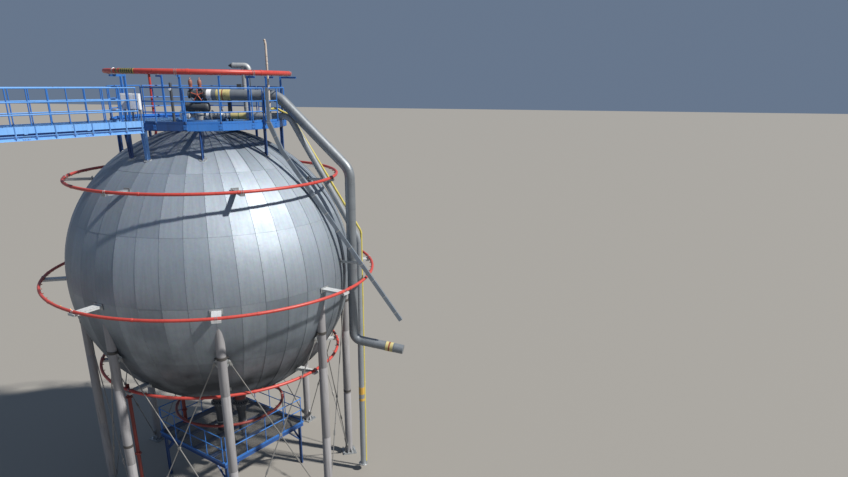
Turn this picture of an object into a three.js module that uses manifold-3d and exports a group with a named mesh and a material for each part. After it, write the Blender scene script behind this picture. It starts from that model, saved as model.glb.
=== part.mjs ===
// Spherical gas tank: an insulated sphere on eight columns, with its top platform, access bridge,
// spray rings, relief pipes and bottom service platform. Millimetres, +Z up.
import * as THREE from "three";
import { mergeVertices } from "three/addons/utils/BufferGeometryUtils.js";
import Module from "manifold-3d";

const wasm = await Module();
wasm.setup();

// Driving dimensions
const sphereRadius = 5400;
const wallThickness = 130;
const equatorHeight = 9600;
const seatGap = 0.3;
const goreCount = 40;
const firstAzimuth = -73.2;
const zoneLatitudes = [-90, -50, -24, 0, 25, 50, 90];
const columnCount = 8;
const columnCircle = 5180;
const columnRadius = 172;
const ringOneRadius = 3200;
const ringOneLevel = 7330;
const ringOneShift = 140;
const deckLevel = 5620;
const deckRadius = 3080;
const deckWell = 900;
const railLevels = [6400, 6830];
const bridgeAzimuth = -122;
const bridgeWidth = 950;
const bridgeShift = 250;
const bridgeBay = 1080;
const bridgeBays = 5;
const serviceDeckLevel = -7450;

// Materials
function finish(colour, roughness, metalness) {
  return new THREE.MeshStandardMaterial({ color: colour, roughness, metalness });
}
const cladding = finish("#8d969e", 0.45, 0.7);
const legPaint = finish("#8f8d8c", 0.7, 0.0);
const redPaint = finish("#c8453f", 0.5, 0.0);
const bluePaint = finish("#2f6fc0", 0.5, 0.0);
const paleBluePaint = finish("#6fa9e6", 0.5, 0.0);
const yellowPaint = finish("#d8c766", 0.5, 0.0);
const galvanised = finish("#b9bdc0", 0.5, 0.6);
const darkPaint = finish("#2c2b2d", 0.6, 0.1);
const whitePaint = finish("#dfe3e6", 0.5, 0.0);
const steelRod = finish("#a9a5a2", 0.5, 0.5);

// Solids: every shape becomes a closed solid, so that pieces can be joined and cut
function solid(geometry) {
  const bare = geometry.index ? geometry.toNonIndexed() : geometry.clone();
  bare.deleteAttribute("normal");
  bare.deleteAttribute("uv");
  const merged = mergeVertices(bare, 0.001);
  const points = merged.attributes.position.array;
  const triangles = Uint32Array.from(merged.index.array);
  let volume = 0;
  for (let i = 0; i < triangles.length; i += 3) {
    const [a, b, c] = [0, 1, 2].map((k) => new THREE.Vector3().fromArray(points, 3 * triangles[i + k]));
    volume += a.dot(b.cross(c));
  }
  if (volume < 0) {
    for (let i = 0; i < triangles.length; i += 3) {
      const second = triangles[i + 1];
      triangles[i + 1] = triangles[i + 2];
      triangles[i + 2] = second;
    }
  }
  return new wasm.Manifold(new wasm.Mesh({
    numProp: 3, vertProperties: Float32Array.from(points), triVerts: triangles,
  }));
}

function join(solids) {
  return solids.reduce((sum, next) => sum.add(next));
}

const tank = new THREE.Group();
tank.position.z = equatorHeight;

function place(name, shape, material) {
  const mesh = shape.getMesh();
  const geometry = new THREE.BufferGeometry();
  geometry.setAttribute("position", new THREE.BufferAttribute(mesh.vertProperties, 3));
  geometry.setIndex(new THREE.BufferAttribute(mesh.triVerts, 1));
  geometry.computeVertexNormals();
  const piece = new THREE.Mesh(geometry, material);
  piece.name = name;
  tank.add(piece);
}

// A point at an azimuth and a radius from the tank's axis, and a level from the equator
function polar(azimuth, radius, level) {
  const turn = THREE.MathUtils.degToRad(azimuth);
  return new THREE.Vector3(radius * Math.cos(turn), radius * Math.sin(turn), level);
}

// A closed profile of radius and level, turned about the tank's axis
function turned(profile, sides, azimuth = firstAzimuth) {
  const start = THREE.MathUtils.degToRad(azimuth + 90);
  const geometry = new THREE.LatheGeometry(profile, sides, start, 2 * Math.PI);
  return solid(geometry.rotateX(Math.PI / 2));
}

// A straight round bar from one point to another
function bar(from, to, radius, sides = 8, endRadius = radius) {
  const span = new THREE.Vector3().subVectors(to, from);
  const geometry = new THREE.CylinderGeometry(endRadius, radius, span.length(), sides);
  const turn = new THREE.Quaternion().setFromUnitVectors(new THREE.Vector3(0, 1, 0), span.normalize());
  geometry.applyQuaternion(turn);
  const middle = new THREE.Vector3().addVectors(from, to).multiplyScalar(0.5);
  return solid(geometry.translate(middle.x, middle.y, middle.z));
}

// A straight square bar: width lies level, height stands up across its run
function beam(from, to, width, height) {
  const along = new THREE.Vector3().subVectors(to, from);
  const length = along.length();
  along.normalize();
  const up = Math.abs(along.z) > 0.99 ? new THREE.Vector3(0, 1, 0) : new THREE.Vector3(0, 0, 1);
  const side = new THREE.Vector3().crossVectors(up, along).normalize();
  const rise = new THREE.Vector3().crossVectors(along, side);
  const frame = new THREE.Matrix4().makeBasis(along, side, rise);
  frame.setPosition(new THREE.Vector3().addVectors(from, to).multiplyScalar(0.5));
  return solid(new THREE.BoxGeometry(length, width, height).applyMatrix4(frame));
}

// A box given by its middle and sizes, turned to an azimuth
function block(centre, sizes, azimuth = 0) {
  const geometry = new THREE.BoxGeometry(sizes.x, sizes.y, sizes.z);
  geometry.rotateZ(THREE.MathUtils.degToRad(azimuth));
  return solid(geometry.translate(centre.x, centre.y, centre.z));
}

// A path through listed points, which a section follows from one point to the next
class PointPath extends THREE.Curve {
  constructor(points) {
    super();
    this.points = points;
  }

  getPoint(t, target = new THREE.Vector3()) {
    const last = this.points.length - 1;
    const step = Math.min(Math.floor(t * last + 1e-6), last - 1);
    return target.lerpVectors(this.points[step], this.points[step + 1], t * last - step);
  }

  getPointAt(u, target) {
    return this.getPoint(u, target);
  }

  getTangentAt(u, target = new THREE.Vector3()) {
    const last = this.points.length - 1;
    const at = Math.round(u * last);
    const previous = this.points[Math.max(at - 1, 0)];
    const following = this.points[Math.min(at + 1, last)];
    const before = new THREE.Vector3().subVectors(this.points[at], previous).normalize();
    const after = new THREE.Vector3().subVectors(following, this.points[at]).normalize();
    return target.addVectors(before, after).normalize();
  }
}

function polygon(radius, sides, turn = 0) {
  const points = [];
  for (let i = 0; i < sides; i += 1) {
    const angle = turn + (i / sides) * 2 * Math.PI;
    points.push(new THREE.Vector2(radius * Math.cos(angle), radius * Math.sin(angle)));
  }
  return new THREE.Shape(points);
}

function sweep(points, section) {
  const path = new PointPath(points);
  const settings = { steps: points.length - 1, bevelEnabled: false, extrudePath: path };
  return solid(new THREE.ExtrudeGeometry(section, settings));
}

// A pipe through a chain of points, with round bends
function pipe(points, radius, bend, sides = 10) {
  const bendSteps = 3;
  const route = [points[0]];
  for (let i = 1; i < points.length - 1; i += 1) {
    const corner = points[i];
    const before = new THREE.Vector3().subVectors(points[i - 1], corner).normalize();
    const after = new THREE.Vector3().subVectors(points[i + 1], corner).normalize();
    const from = corner.clone().addScaledVector(before, bend);
    const to = corner.clone().addScaledVector(after, bend);
    const curve = new THREE.QuadraticBezierCurve3(from, corner, to);
    route.push(...curve.getPoints(bendSteps));
  }
  route.push(points[points.length - 1]);
  return sweep(route, polygon(radius, sides));
}

// A square bar bent round the tank's axis between two azimuths
function arcBar(radius, level, start, end, width) {
  const steps = Math.ceil(Math.abs(end - start) / 11);
  const points = [];
  for (let i = 0; i <= steps; i += 1) {
    points.push(polar(start + (i / steps) * (end - start), radius, level));
  }
  return sweep(points, polygon(width / Math.SQRT2, 4, Math.PI / 4));
}

// Sphere: six zones of flat cladding sheets, each a thick shell of plate and insulation
function latitudeAt(level, radius) {
  return THREE.MathUtils.radToDeg(Math.asin(THREE.MathUtils.clamp(level / radius, -1, 1)));
}

function arcPoints(radius, low, high, step) {
  const count = Math.max(1, Math.round((high - low) / step));
  const points = [];
  for (let i = 0; i <= count; i += 1) {
    const degrees = low + (i / count) * (high - low);
    const latitude = THREE.MathUtils.degToRad(degrees);
    const out = Math.abs(degrees) > 89.99 ? 0 : radius * Math.cos(latitude);
    points.push(new THREE.Vector2(out, radius * Math.sin(latitude)));
  }
  return points;
}

function zoneProfile(low, high) {
  const innerRadius = sphereRadius - wallThickness;
  const lowLevel = sphereRadius * Math.sin(THREE.MathUtils.degToRad(low)) + seatGap;
  const highLevel = sphereRadius * Math.sin(THREE.MathUtils.degToRad(high));
  const arc = (radius, step) => arcPoints(
    radius,
    low === -90 ? -90 : latitudeAt(lowLevel, radius),
    high === 90 ? 90 : latitudeAt(highLevel, radius),
    step,
  );
  const outer = arc(sphereRadius, 8);
  const inner = arc(innerRadius, 13).reverse();
  if (high === 90) {
    return [...inner, ...outer];
  }
  return low === -90 ? [...outer, ...inner] : [...outer, ...inner, outer[0].clone()];
}

const zoneNames = [
  "shell_bottom_cap", "shell_lower_zone", "shell_under_equator", "shell_over_equator", "shell_upper_zone",
  "shell_top_cap",
];
const zoneShells = zoneNames.map((name, i) => turned(
  zoneProfile(zoneLatitudes[i], zoneLatitudes[i + 1]), goreCount,
));
const ballOutline = zoneNames.flatMap((name, i) => arcPoints(
  sphereRadius + 2 * seatGap, zoneLatitudes[i], zoneLatitudes[i + 1], 8,
).slice(i ? 1 : 0));
const wholeBall = turned(ballOutline, goreCount);
zoneNames.forEach((name, i) => place(name, zoneShells[i], cladding));

// Columns: round legs whose tops run into the cladding, on square base plates, with tie-rod lugs
const footPlate = new THREE.Vector3(620, 620, 40);
const footLevel = -equatorHeight;
const lugLevel = -2150;
const lowLugLevel = footLevel + 420;
const lugReach = 330;
const lugThickness = 24;

function columnAzimuth(index) {
  return firstAzimuth + (index * 360) / columnCount;
}

// A point at a distance from one column's axis towards its neighbour's
function toward(index, neighbour, level, distance) {
  const from = polar(columnAzimuth(index), columnCircle, level);
  const to = polar(columnAzimuth(neighbour), columnCircle, level);
  return from.addScaledVector(to.sub(from).normalize(), distance);
}

for (let i = 0; i < columnCount; i += 1) {
  const azimuth = columnAzimuth(i);
  const foot = polar(azimuth, columnCircle, footLevel + footPlate.z / 2);
  const parts = [
    bar(foot, polar(azimuth, columnCircle, -500), columnRadius, 10),
    block(foot, footPlate, azimuth),
  ];
  for (const level of [lugLevel, lowLugLevel]) {
    for (const neighbour of [i - 1, i + 1]) {
      const outer = toward(i, neighbour, level, lugReach);
      parts.push(beam(toward(i, neighbour, level, 0), outer, lugThickness, 170));
    }
  }
  place(`column_${i + 1}`, join(parts).subtract(wholeBall), legPaint);
}

// Tie rods: one crossed pair in each bay, with an eye plate at each end
const rodSize = 40;
const eyeThickness = 20;
const eyeOffset = lugThickness / 2 + 0.4 + eyeThickness / 2;

function tieRod(low, high, offset) {
  const run = new THREE.Vector3().subVectors(high, low).normalize();
  const lower = low.clone().addScaledVector(run, 150);
  const parts = [beam(lower, high.clone().addScaledVector(run, -150), rodSize, rodSize)];
  for (const [pin, inward] of [[low, 1], [high, -1]]) {
    const back = pin.clone().add(offset).addScaledVector(run, -50 * inward);
    const front = pin.clone().add(offset).addScaledVector(run, 210 * inward);
    parts.push(beam(back, front, eyeThickness, 90));
  }
  return join(parts);
}

const lugPin = lugReach - 60;
for (let i = 0; i < columnCount; i += 1) {
  const offset = polar(columnAzimuth(i + 0.5), eyeOffset, 0);
  const rising = tieRod(toward(i, i + 1, lowLugLevel, lugPin), toward(i + 1, i, lugLevel, lugPin), offset);
  const falling = tieRod(toward(i + 1, i, lowLugLevel, lugPin), toward(i, i + 1, lugLevel, lugPin), offset);
  place(`tie_rods_${i + 1}`, join([rising, falling]), steelRod);
}

// Spray rings: round pipes at five levels, each with the arms or posts that carry it
const rings = [
  { name: "spray_ring_2", radius: 4965, level: 3675, pipe: 55, arms: 7, turn: -8.3, armWidth: 150 },
  { name: "spray_ring_3", radius: 6330, level: -70, pipe: 57, arms: 8, turn: firstAzimuth, armWidth: 320 },
  { name: "spray_ring_4", radius: 4770, level: -3600, pipe: 57, arms: 8, turn: firstAzimuth, armWidth: 260 },
];
const armDepth = 90;

function ringPipe(radius, level, pipeRadius, sides, steps) {
  const profile = [];
  for (let i = 0; i <= sides; i += 1) {
    const turn = ((i % sides) / sides) * 2 * Math.PI + Math.PI / sides;
    const x = radius + pipeRadius * Math.cos(turn);
    profile.push(new THREE.Vector2(x, level + pipeRadius * Math.sin(turn)));
  }
  return turned(profile, steps);
}

for (const ring of rings) {
  const armLevel = ring.level - ring.pipe * 0.8 - armDepth / 2;
  const inner = Math.sqrt(sphereRadius ** 2 - armLevel ** 2) - 80;
  const parts = [];
  for (let i = 0; i < ring.arms; i += 1) {
    const azimuth = ring.turn + (i * 360) / ring.arms;
    const outer = polar(azimuth, ring.radius + 90, armLevel);
    parts.push(beam(polar(azimuth, inner, armLevel), outer, ring.armWidth, armDepth));
  }
  const pipeShape = ringPipe(ring.radius, ring.level, ring.pipe, 6, goreCount);
  place(ring.name, pipeShape.add(join(parts).subtract(wholeBall)), redPaint);
}

// Platform frame: a round edge beam with its toe board, cross joists and posts standing on the sphere
const edgeTop = 5770;
const edgeBottom = 5460;
const edgeThickness = 60;
const postCircle = 2930;
const postWidth = 110;
const gateAzimuths = [-125.7, -110.2];
const gatePostCircle = 3000;
const postAzimuths = [-73.2, -25, 16.8, 61.8, 106.8, 151.8, 196.8, ...gateAzimuths];
const joistDepth = 110;
const gateCentre = -117.4;
const gateHalfAngle = 9.8;

const edgeRing = turned([
  new THREE.Vector2(deckRadius, edgeBottom),
  new THREE.Vector2(deckRadius + edgeThickness, edgeBottom),
  new THREE.Vector2(deckRadius + edgeThickness, edgeTop),
  new THREE.Vector2(deckRadius, edgeTop),
  new THREE.Vector2(deckRadius, edgeBottom),
], goreCount);
const wellRing = turned([
  new THREE.Vector2(deckWell, edgeBottom),
  new THREE.Vector2(deckWell + edgeThickness, edgeBottom),
  new THREE.Vector2(deckWell + edgeThickness, deckLevel - 50.4),
  new THREE.Vector2(deckWell, deckLevel - 50.4),
  new THREE.Vector2(deckWell, edgeBottom),
], goreCount / 4);
const frameParts = [edgeRing, wellRing];
const joistLevel = deckLevel - 50.4 - joistDepth / 2;
for (const azimuth of postAzimuths) {
  const circle = gateAzimuths.includes(azimuth) ? gatePostCircle : postCircle;
  const foot = polar(azimuth, circle, 4300);
  frameParts.push(beam(foot, polar(azimuth, circle, joistLevel), postWidth, postWidth));
  const inner = polar(azimuth, deckWell + 20, joistLevel);
  frameParts.push(beam(inner, polar(azimuth, deckRadius + 20, joistLevel), 90, joistDepth));
}
const gateMiddle = polar(bridgeAzimuth, deckRadius, deckLevel + 100)
  .add(polar(bridgeAzimuth + 90, bridgeShift, 0));
const gateSill = block(gateMiddle, new THREE.Vector3(300, bridgeWidth, 200), bridgeAzimuth);
const platformFrame = join(frameParts).subtract(wholeBall).subtract(gateSill);

// Platform deck: a round floor plate with an open well over the top nozzles
place("platform_deck", turned([
  new THREE.Vector2(deckWell, deckLevel - 50),
  new THREE.Vector2(deckRadius - 0.4, deckLevel - 50),
  new THREE.Vector2(deckRadius - 0.4, deckLevel),
  new THREE.Vector2(deckWell, deckLevel),
  new THREE.Vector2(deckWell, deckLevel - 50),
], goreCount), bluePaint);

// Platform railings: four lengths of two rails round the edge, open at the bridge
const railRadius = deckRadius + edgeThickness / 2;
const railSize = 42;
const railingEnds = [gateCentre + gateHalfAngle, -28.2, 61.8, 151.8, gateCentre - gateHalfAngle + 360];
const gateSideShares = [0, 0.107, 0.341, 0.605, 0.882, 1];
const pipeSideShares = [0, 0.15, 0.36, 0.68, 1];
const railings = [];
for (let i = 0; i < 4; i += 1) {
  const start = railingEnds[i] + (i ? 0.6 : 0);
  const end = railingEnds[i + 1] - (i < 3 ? 0.6 : 0);
  const parts = railLevels.map((level) => arcBar(railRadius, level, start, end, railSize));
  const spans = Math.round((end - start) / 22.5);
  const evenShares = Array.from({ length: spans + 1 }, (_, k) => k / spans);
  const shares = [gateSideShares, pipeSideShares, evenShares, evenShares][i];
  for (const share of shares) {
    const azimuth = start + 0.4 + share * (end - start - 0.8);
    const base = polar(azimuth, railRadius, edgeTop + 0.4);
    parts.push(beam(base, polar(azimuth, railRadius, railLevels[1]), 40, 40));
  }
  railings.push(join(parts));
}

// Top spray ring on its eight posts, which stand on the deck just inside the railing
const ringPostCount = 8;
const ringPostRadius = 2880;
const ringPostFirst = -85.5;

function onTopRing(azimuth, radius, level) {
  return polar(azimuth, radius, level).add(new THREE.Vector3(ringOneShift, 0, 0));
}

function topRingPipe(pipeRadius) {
  return ringPipe(ringOneRadius, ringOneLevel, pipeRadius, 6, goreCount).translate(ringOneShift, 0, 0);
}

const topRingParts = [topRingPipe(80)];
for (let i = 0; i < ringPostCount; i += 1) {
  const azimuth = ringPostFirst + (i * 360) / ringPostCount;
  const armLevel = ringOneLevel - 95;
  topRingParts.push(sweep([
    onTopRing(azimuth, ringPostRadius, deckLevel + 0.4),
    onTopRing(azimuth, ringPostRadius, armLevel),
    onTopRing(azimuth, ringOneRadius + 60, armLevel),
  ], polygon(55, 4, Math.PI / 4)));
}
place("spray_ring_1", join(topRingParts), redPaint);

// Access bridge: two plate girders with a deck between them, on the platform's gate side
const bridgeLength = bridgeBay * bridgeBays;
const girderDepth = 390;
const girderTop = 5780;
const bridgeRails = [6430, 6830];
const bridgeEnd = -100;
const girderThickness = 60;
const bridgeRun = polar(bridgeAzimuth, 1, 0);
const bridgeStart = polar(bridgeAzimuth, deckRadius, 0);

function onBridge(along, across, level) {
  return bridgeStart.clone().addScaledVector(bridgeRun, along)
    .add(polar(bridgeAzimuth + 90, across + bridgeShift, 0)).setZ(level);
}

const girderOffset = (bridgeWidth + girderThickness) / 2 - 5;
const platformCore = turned([
  new THREE.Vector2(0, 5000),
  new THREE.Vector2(deckRadius + edgeThickness + seatGap, 5000),
  new THREE.Vector2(deckRadius + edgeThickness + seatGap, 6200),
  new THREE.Vector2(0, 6200),
], goreCount);
for (const [name, side] of [["bridge_girder_near", 1], ["bridge_girder_far", -1]]) {
  const across = side * girderOffset;
  const middle = girderTop - girderDepth / 2;
  const flange = girderTop - girderDepth;
  place(name, join([
    beam(
      onBridge(bridgeEnd, across, middle), onBridge(bridgeLength, across, middle),
      girderThickness, girderDepth,
    ),
    beam(onBridge(bridgeEnd, across, flange), onBridge(bridgeLength, across, flange), 150, 30),
  ]).subtract(platformCore), paleBluePaint);
}
const floorWidth = 2 * (girderOffset - girderThickness / 2 - seatGap);
place("bridge_deck", beam(
  onBridge(bridgeEnd, 0, deckLevel - 25), onBridge(bridgeLength, 0, deckLevel - 25), floorWidth, 50,
).subtract(platformCore), paleBluePaint);

const railStart = 80;
for (const [name, side] of [["bridge_railing_near", 1], ["bridge_railing_far", -1]]) {
  const across = side * girderOffset;
  const parts = bridgeRails.map((level) => beam(
    onBridge(railStart, across, level), onBridge(bridgeLength, across, level), railSize, railSize,
  ));
  for (let k = 0; k <= bridgeBays; k += 1) {
    const along = railStart + 20 + (k / bridgeBays) * (bridgeLength - railStart - 40);
    const base = onBridge(along, across, girderTop + 0.4);
    parts.push(beam(base, onBridge(along, across, bridgeRails[1]), 40, 40));
  }
  place(name, join(parts), paleBluePaint);
}

// Spray feed: a red riser beside one leg up to the equator ring, and another from there to the top
const feedAzimuth = 143;
const feedRadius = 50;
const feedStand = 85;
const feedTopRadius = 3195;
const [ringTwo, ringThree, ringFour] = rings;
const feedRun = pipe([
  polar(feedAzimuth, ringThree.radius + feedStand, ringThree.level),
  polar(feedAzimuth, ringThree.radius + feedStand, 700),
  polar(feedAzimuth, ringTwo.radius + feedStand, ringTwo.level - 300),
  polar(feedAzimuth, ringTwo.radius + feedStand, ringTwo.level + 500),
  polar(feedAzimuth, feedTopRadius, 4900),
  polar(feedAzimuth, feedTopRadius, ringOneLevel),
], feedRadius, 250, 8);
const feedSeats = join([
  topRingPipe(80 + seatGap),
  ...rings.map((ring) => ringPipe(ring.radius, ring.level, ring.pipe + seatGap, 6, goreCount)),
]);
place("upper_spray_riser", feedRun.subtract(feedSeats), redPaint);
const lowFeedAzimuth = -121.2;
const lowFeedRadius = 68;
const lowFeedRun = bar(
  polar(lowFeedAzimuth, ringFour.radius - 110, footLevel),
  polar(lowFeedAzimuth, ringFour.radius - 110, ringFour.level + 130),
  lowFeedRadius, 8,
);
place("lower_spray_riser", lowFeedRun.subtract(feedSeats), redPaint);

// Bottom spray ring: a small ring held up on posts from the service deck
const lowRing = { radius: 2235, level: -6180, pipe: 57 };
const lowRingFeed = 172;
const lowRingParts = [
  ringPipe(lowRing.radius, lowRing.level, lowRing.pipe, 6, goreCount / 2),
  bar(
    polar(lowRingFeed, lowRing.radius, serviceDeckLevel + 0.4),
    polar(lowRingFeed, lowRing.radius, lowRing.level), 78, 8,
  ),
];
for (const azimuth of [-73.2, 16.8, 106.8]) {
  const base = polar(azimuth, lowRing.radius, serviceDeckLevel + 0.4);
  lowRingParts.push(beam(base, polar(azimuth, lowRing.radius, lowRing.level), 60, 60));
}
place("spray_ring_5", join(lowRingParts), redPaint);

// Service platform under the sphere: a square deck with edge beams on four legs, and its railing
const serviceHalf = 2200;
const serviceLeg = 150;
const serviceTurn = -35;

function onService(x, y, level) {
  const turn = THREE.MathUtils.degToRad(serviceTurn);
  const cosine = Math.cos(turn);
  const sine = Math.sin(turn);
  return new THREE.Vector3(x * cosine - y * sine, x * sine + y * cosine, level);
}

const corners = [[-1, -1], [1, -1], [1, 1], [-1, 1]];
const serviceParts = [block(
  onService(0, 0, serviceDeckLevel - 110),
  new THREE.Vector3(2 * serviceHalf, 2 * serviceHalf, 220),
  serviceTurn,
)];
for (const [x, y] of corners) {
  const at = serviceHalf - serviceLeg;
  serviceParts.push(beam(
    onService(x * at, y * at, footLevel), onService(x * at, y * at, serviceDeckLevel - 100),
    serviceLeg, serviceLeg,
  ));
}
place("service_platform", join(serviceParts), bluePaint);

const serviceRails = [600, 1150];
const serviceRailHalf = serviceHalf - 30;
for (let k = 0; k < 4; k += 1) {
  const [x0, y0] = corners[k];
  const [x1, y1] = corners[(k + 1) % 4];
  const dx = Math.sign(x1 - x0) * 60;
  const dy = Math.sign(y1 - y0) * 60;
  const from = (level) => onService(x0 * serviceRailHalf + dx, y0 * serviceRailHalf + dy, level);
  const to = (level) => onService(x1 * serviceRailHalf - dx, y1 * serviceRailHalf - dy, level);
  const parts = serviceRails.map((height) => beam(
    from(serviceDeckLevel + height), to(serviceDeckLevel + height), railSize, railSize,
  ));
  for (const t of [0.01, 0.5, 0.99]) {
    const base = from(serviceDeckLevel + 0.4).lerp(to(serviceDeckLevel + 0.4), t);
    parts.push(beam(base, base.clone().setZ(serviceDeckLevel + serviceRails[1]), 40, 40));
  }
  place(`service_railing_${k + 1}`, join(parts), bluePaint);
}

// Bottom nozzles: two dark necks with flanges under the bottom cap
for (const [name, x, y] of [["bottom_nozzle_left", -420, -250], ["bottom_nozzle_right", 520, -250]]) {
  const neck = 240;
  const flangeLevel = -6050;
  const shape = join([
    bar(new THREE.Vector3(x, y, -5200), new THREE.Vector3(x, y, -6500), neck, 12),
    bar(new THREE.Vector3(x, y, flangeLevel), new THREE.Vector3(x, y, flangeLevel - 90), neck + 90, 12),
    bar(new THREE.Vector3(x, y, -6500), new THREE.Vector3(x, y, serviceDeckLevel + 0.4), 170, 12),
  ]);
  place(name, shape.subtract(wholeBall), darkPaint);
}

// Top nozzle neck with its side branch, relief header, changeover valve, and two relief valves
const stack = new THREE.Vector3(60, -300, 0);
function atStack(x, y, level) {
  return new THREE.Vector3(stack.x + x, stack.y + y, level);
}
const neckTop = 5920;
const branchLevel = 5835;
const branchEnd = 440;
place("top_nozzle", join([
  bar(atStack(0, 0, 5100), atStack(0, 0, neckTop), 170, 12),
  bar(atStack(0, 0, neckTop - 50), atStack(0, 0, neckTop), 220, 12),
  bar(atStack(0, 0, branchLevel), atStack(branchEnd, 0, branchLevel), 75, 10),
]).subtract(wholeBall), galvanised);

const headerBase = neckTop + seatGap;
const headerLevel = 6125;
const headerRadius = 185;
const headerTop = 6350;
place("relief_header", join([
  bar(atStack(-530, 0, headerLevel), atStack(390, 0, headerLevel), headerRadius, 12),
  bar(atStack(0, 0, headerBase), atStack(0, 0, headerBase + 50), 220, 12),
  bar(atStack(0, 0, headerBase), atStack(0, 0, headerTop), 120, 12),
]), darkPaint);

const valveBase = headerTop + seatGap;
const valveAxis = 6560;
const valveTop = valveAxis + 190;
const valveEnd = 260;
const wheelFront = -330;
const wheelX = 90;
const bonnets = [["relief_valve_left", -240], ["relief_valve_right", 95]];
place("changeover_valve", join([
  bar(atStack(0, 0, valveBase), atStack(0, 0, valveBase + 50), 165, 12),
  bar(atStack(0, 0, valveBase), atStack(0, 0, valveAxis), 120, 12),
  bar(atStack(-340, 0, valveAxis), atStack(valveEnd, 0, valveAxis), 130, 12),
  bar(atStack(valveEnd - 40, 0, valveAxis), atStack(valveEnd, 0, valveAxis), 215, 12),
  bar(atStack(wheelX, 0, valveAxis), atStack(wheelX, wheelFront, valveAxis), 40, 8),
  bar(atStack(wheelX, wheelFront, valveAxis), atStack(wheelX, wheelFront - 30, valveAxis), 270, 14),
  ...bonnets.map(([, x]) => bar(atStack(x, 0, valveAxis), atStack(x, 0, valveTop), 70, 8)),
]), darkPaint);

for (const [name, x] of bonnets) {
  const base = valveTop + seatGap;
  place(name, join([
    bar(atStack(x, 0, base), atStack(x, 0, base + 60), 110, 10),
    bar(atStack(x, 0, base), atStack(x, 0, base + 330), 72, 10),
    bar(atStack(x, 0, base + 330), atStack(x, 0, base + 400), 30, 8),
  ]), redPaint);
}

// Main relief pipe: insulated, from the changeover valve across the deck, down the tank's side
const mainRadius = 195;
const riserX = 5640;
const mainPath = [
  atStack(valveEnd + seatGap, 0, valveAxis),
  new THREE.Vector3(2990, stack.y, valveAxis),
  new THREE.Vector3(riserX, -1000, 4000),
  new THREE.Vector3(riserX, -1000, -2770),
  new THREE.Vector3(7650, -1350, -3060),
];
const mainBend = 300;
place("relief_pipe", pipe(mainPath, mainRadius, mainBend, 12), galvanised);
const railCut = pipe(mainPath.slice(0, 3), mainRadius + 45, mainBend, 12);
railings.forEach((railing, i) => {
  place(`platform_railing_${i + 1}`, i === 1 ? railing.subtract(railCut) : railing, bluePaint);
});

// Second pipe: smaller, from the nozzle's branch beside the first, down to a flange over the ground
const smallRadius = 125;
const smallX = 5785;
const flangeLevel = footLevel + 300;
const smallPath = [
  atStack(branchEnd + seatGap, 0, branchLevel),
  new THREE.Vector3(3380, stack.y, branchLevel),
  new THREE.Vector3(smallX, 0, 1190),
  new THREE.Vector3(smallX, 0, flangeLevel),
];
const smallBend = 200;
place("drain_pipe", join([
  pipe(smallPath, smallRadius, smallBend, 10),
  bar(new THREE.Vector3(smallX, 0, flangeLevel), new THREE.Vector3(smallX, 0, flangeLevel + 40), 200, 10),
  bar(atStack(branchEnd + seatGap, 0, branchLevel), atStack(branchEnd + 40, 0, branchLevel), 190, 10),
]), galvanised);
const edgeNotch = pipe(smallPath.slice(0, 3), smallRadius + 25, smallBend, 10);
place("platform_frame", platformFrame.subtract(edgeNotch), bluePaint);

// Vent mast on the deck, and the thin yellow line that runs from it down beside the pipes
const ventRadius = 45;
const mast = new THREE.Vector3(2830, -1000, 0);
const ventX = 5890;
const ventCrossing = 6110;
place("vent_line", join([
  pipe([
    mast.clone().setZ(8440),
    mast.clone().setZ(ventCrossing),
    new THREE.Vector3(mast.x, -60, ventCrossing),
    new THREE.Vector3(3400, -60, 5840),
    new THREE.Vector3(ventX, 240, 1420),
    new THREE.Vector3(ventX, 240, flangeLevel),
  ], ventRadius, 150, 8),
  bar(mast.clone().setZ(deckLevel + 0.4), mast.clone().setZ(ventCrossing + 150), ventRadius, 8),
]), yellowPaint);

// Cable duct: a box section from beside the platform's edge down past the sphere, held at both ends
const ductWidth = 150;
const ductPost = 100;
const ductAzimuth = -28.2;
const ductRadius = deckRadius + 200;
const ductHold = new THREE.Vector3(6020, -1450, 560);
place("cable_duct", join([
  beam(polar(ductAzimuth, ductRadius, 5600), polar(ductAzimuth, ductRadius, 6850), ductPost, ductPost),
  sweep([
    polar(ductAzimuth, ductRadius, 5680),
    new THREE.Vector3(3280, -1500, 4720),
    new THREE.Vector3(7570, -1421, -1794),
  ], polygon(ductWidth / Math.SQRT2, 4, Math.PI / 4)),
  beam(
    polar(ductAzimuth, deckRadius + edgeThickness + seatGap, 5690), polar(ductAzimuth, ductRadius + 20, 5690),
    90, 90,
  ),
  beam(ductHold, new THREE.Vector3(5100, -1228, 560), 80, 80),
]).subtract(wholeBall), galvanised);

// Breather: a pipe on the deck with a level hood across its top, whose right end turns down
const breather = new THREE.Vector3(1630, 330, 0);
const hoodLevel = 7580;
const hoodRight = breather.x + 200;
place("goose_neck_vent", join([
  bar(breather.clone().setZ(deckLevel + 0.4), breather.clone().setZ(hoodLevel), 85, 10),
  pipe([
    new THREE.Vector3(breather.x - 390, breather.y, hoodLevel),
    new THREE.Vector3(hoodRight, breather.y, hoodLevel),
    new THREE.Vector3(hoodRight, breather.y, hoodLevel - 260),
  ], 105, 150, 10),
]), galvanised);

// Instrument cabinets by the gate, and a dark instrument post
for (const [name, x, y] of [["cabinet_left", -1950, -1740], ["cabinet_right", -1560, -1960]]) {
  const legs = [-130, 130].map((dx) => beam(
    new THREE.Vector3(x + dx, y, deckLevel + 0.4), new THREE.Vector3(x + dx, y, 6120), 40, 40,
  ));
  const body = block(new THREE.Vector3(x, y, 6350), new THREE.Vector3(340, 220, 520));
  place(name, join([body, ...legs]), whitePaint);
}
place("instrument_post", bar(
  new THREE.Vector3(-620, -1100, deckLevel + 0.4), new THREE.Vector3(-620, -1100, 6980), 55, 8,
), darkPaint);

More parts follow.
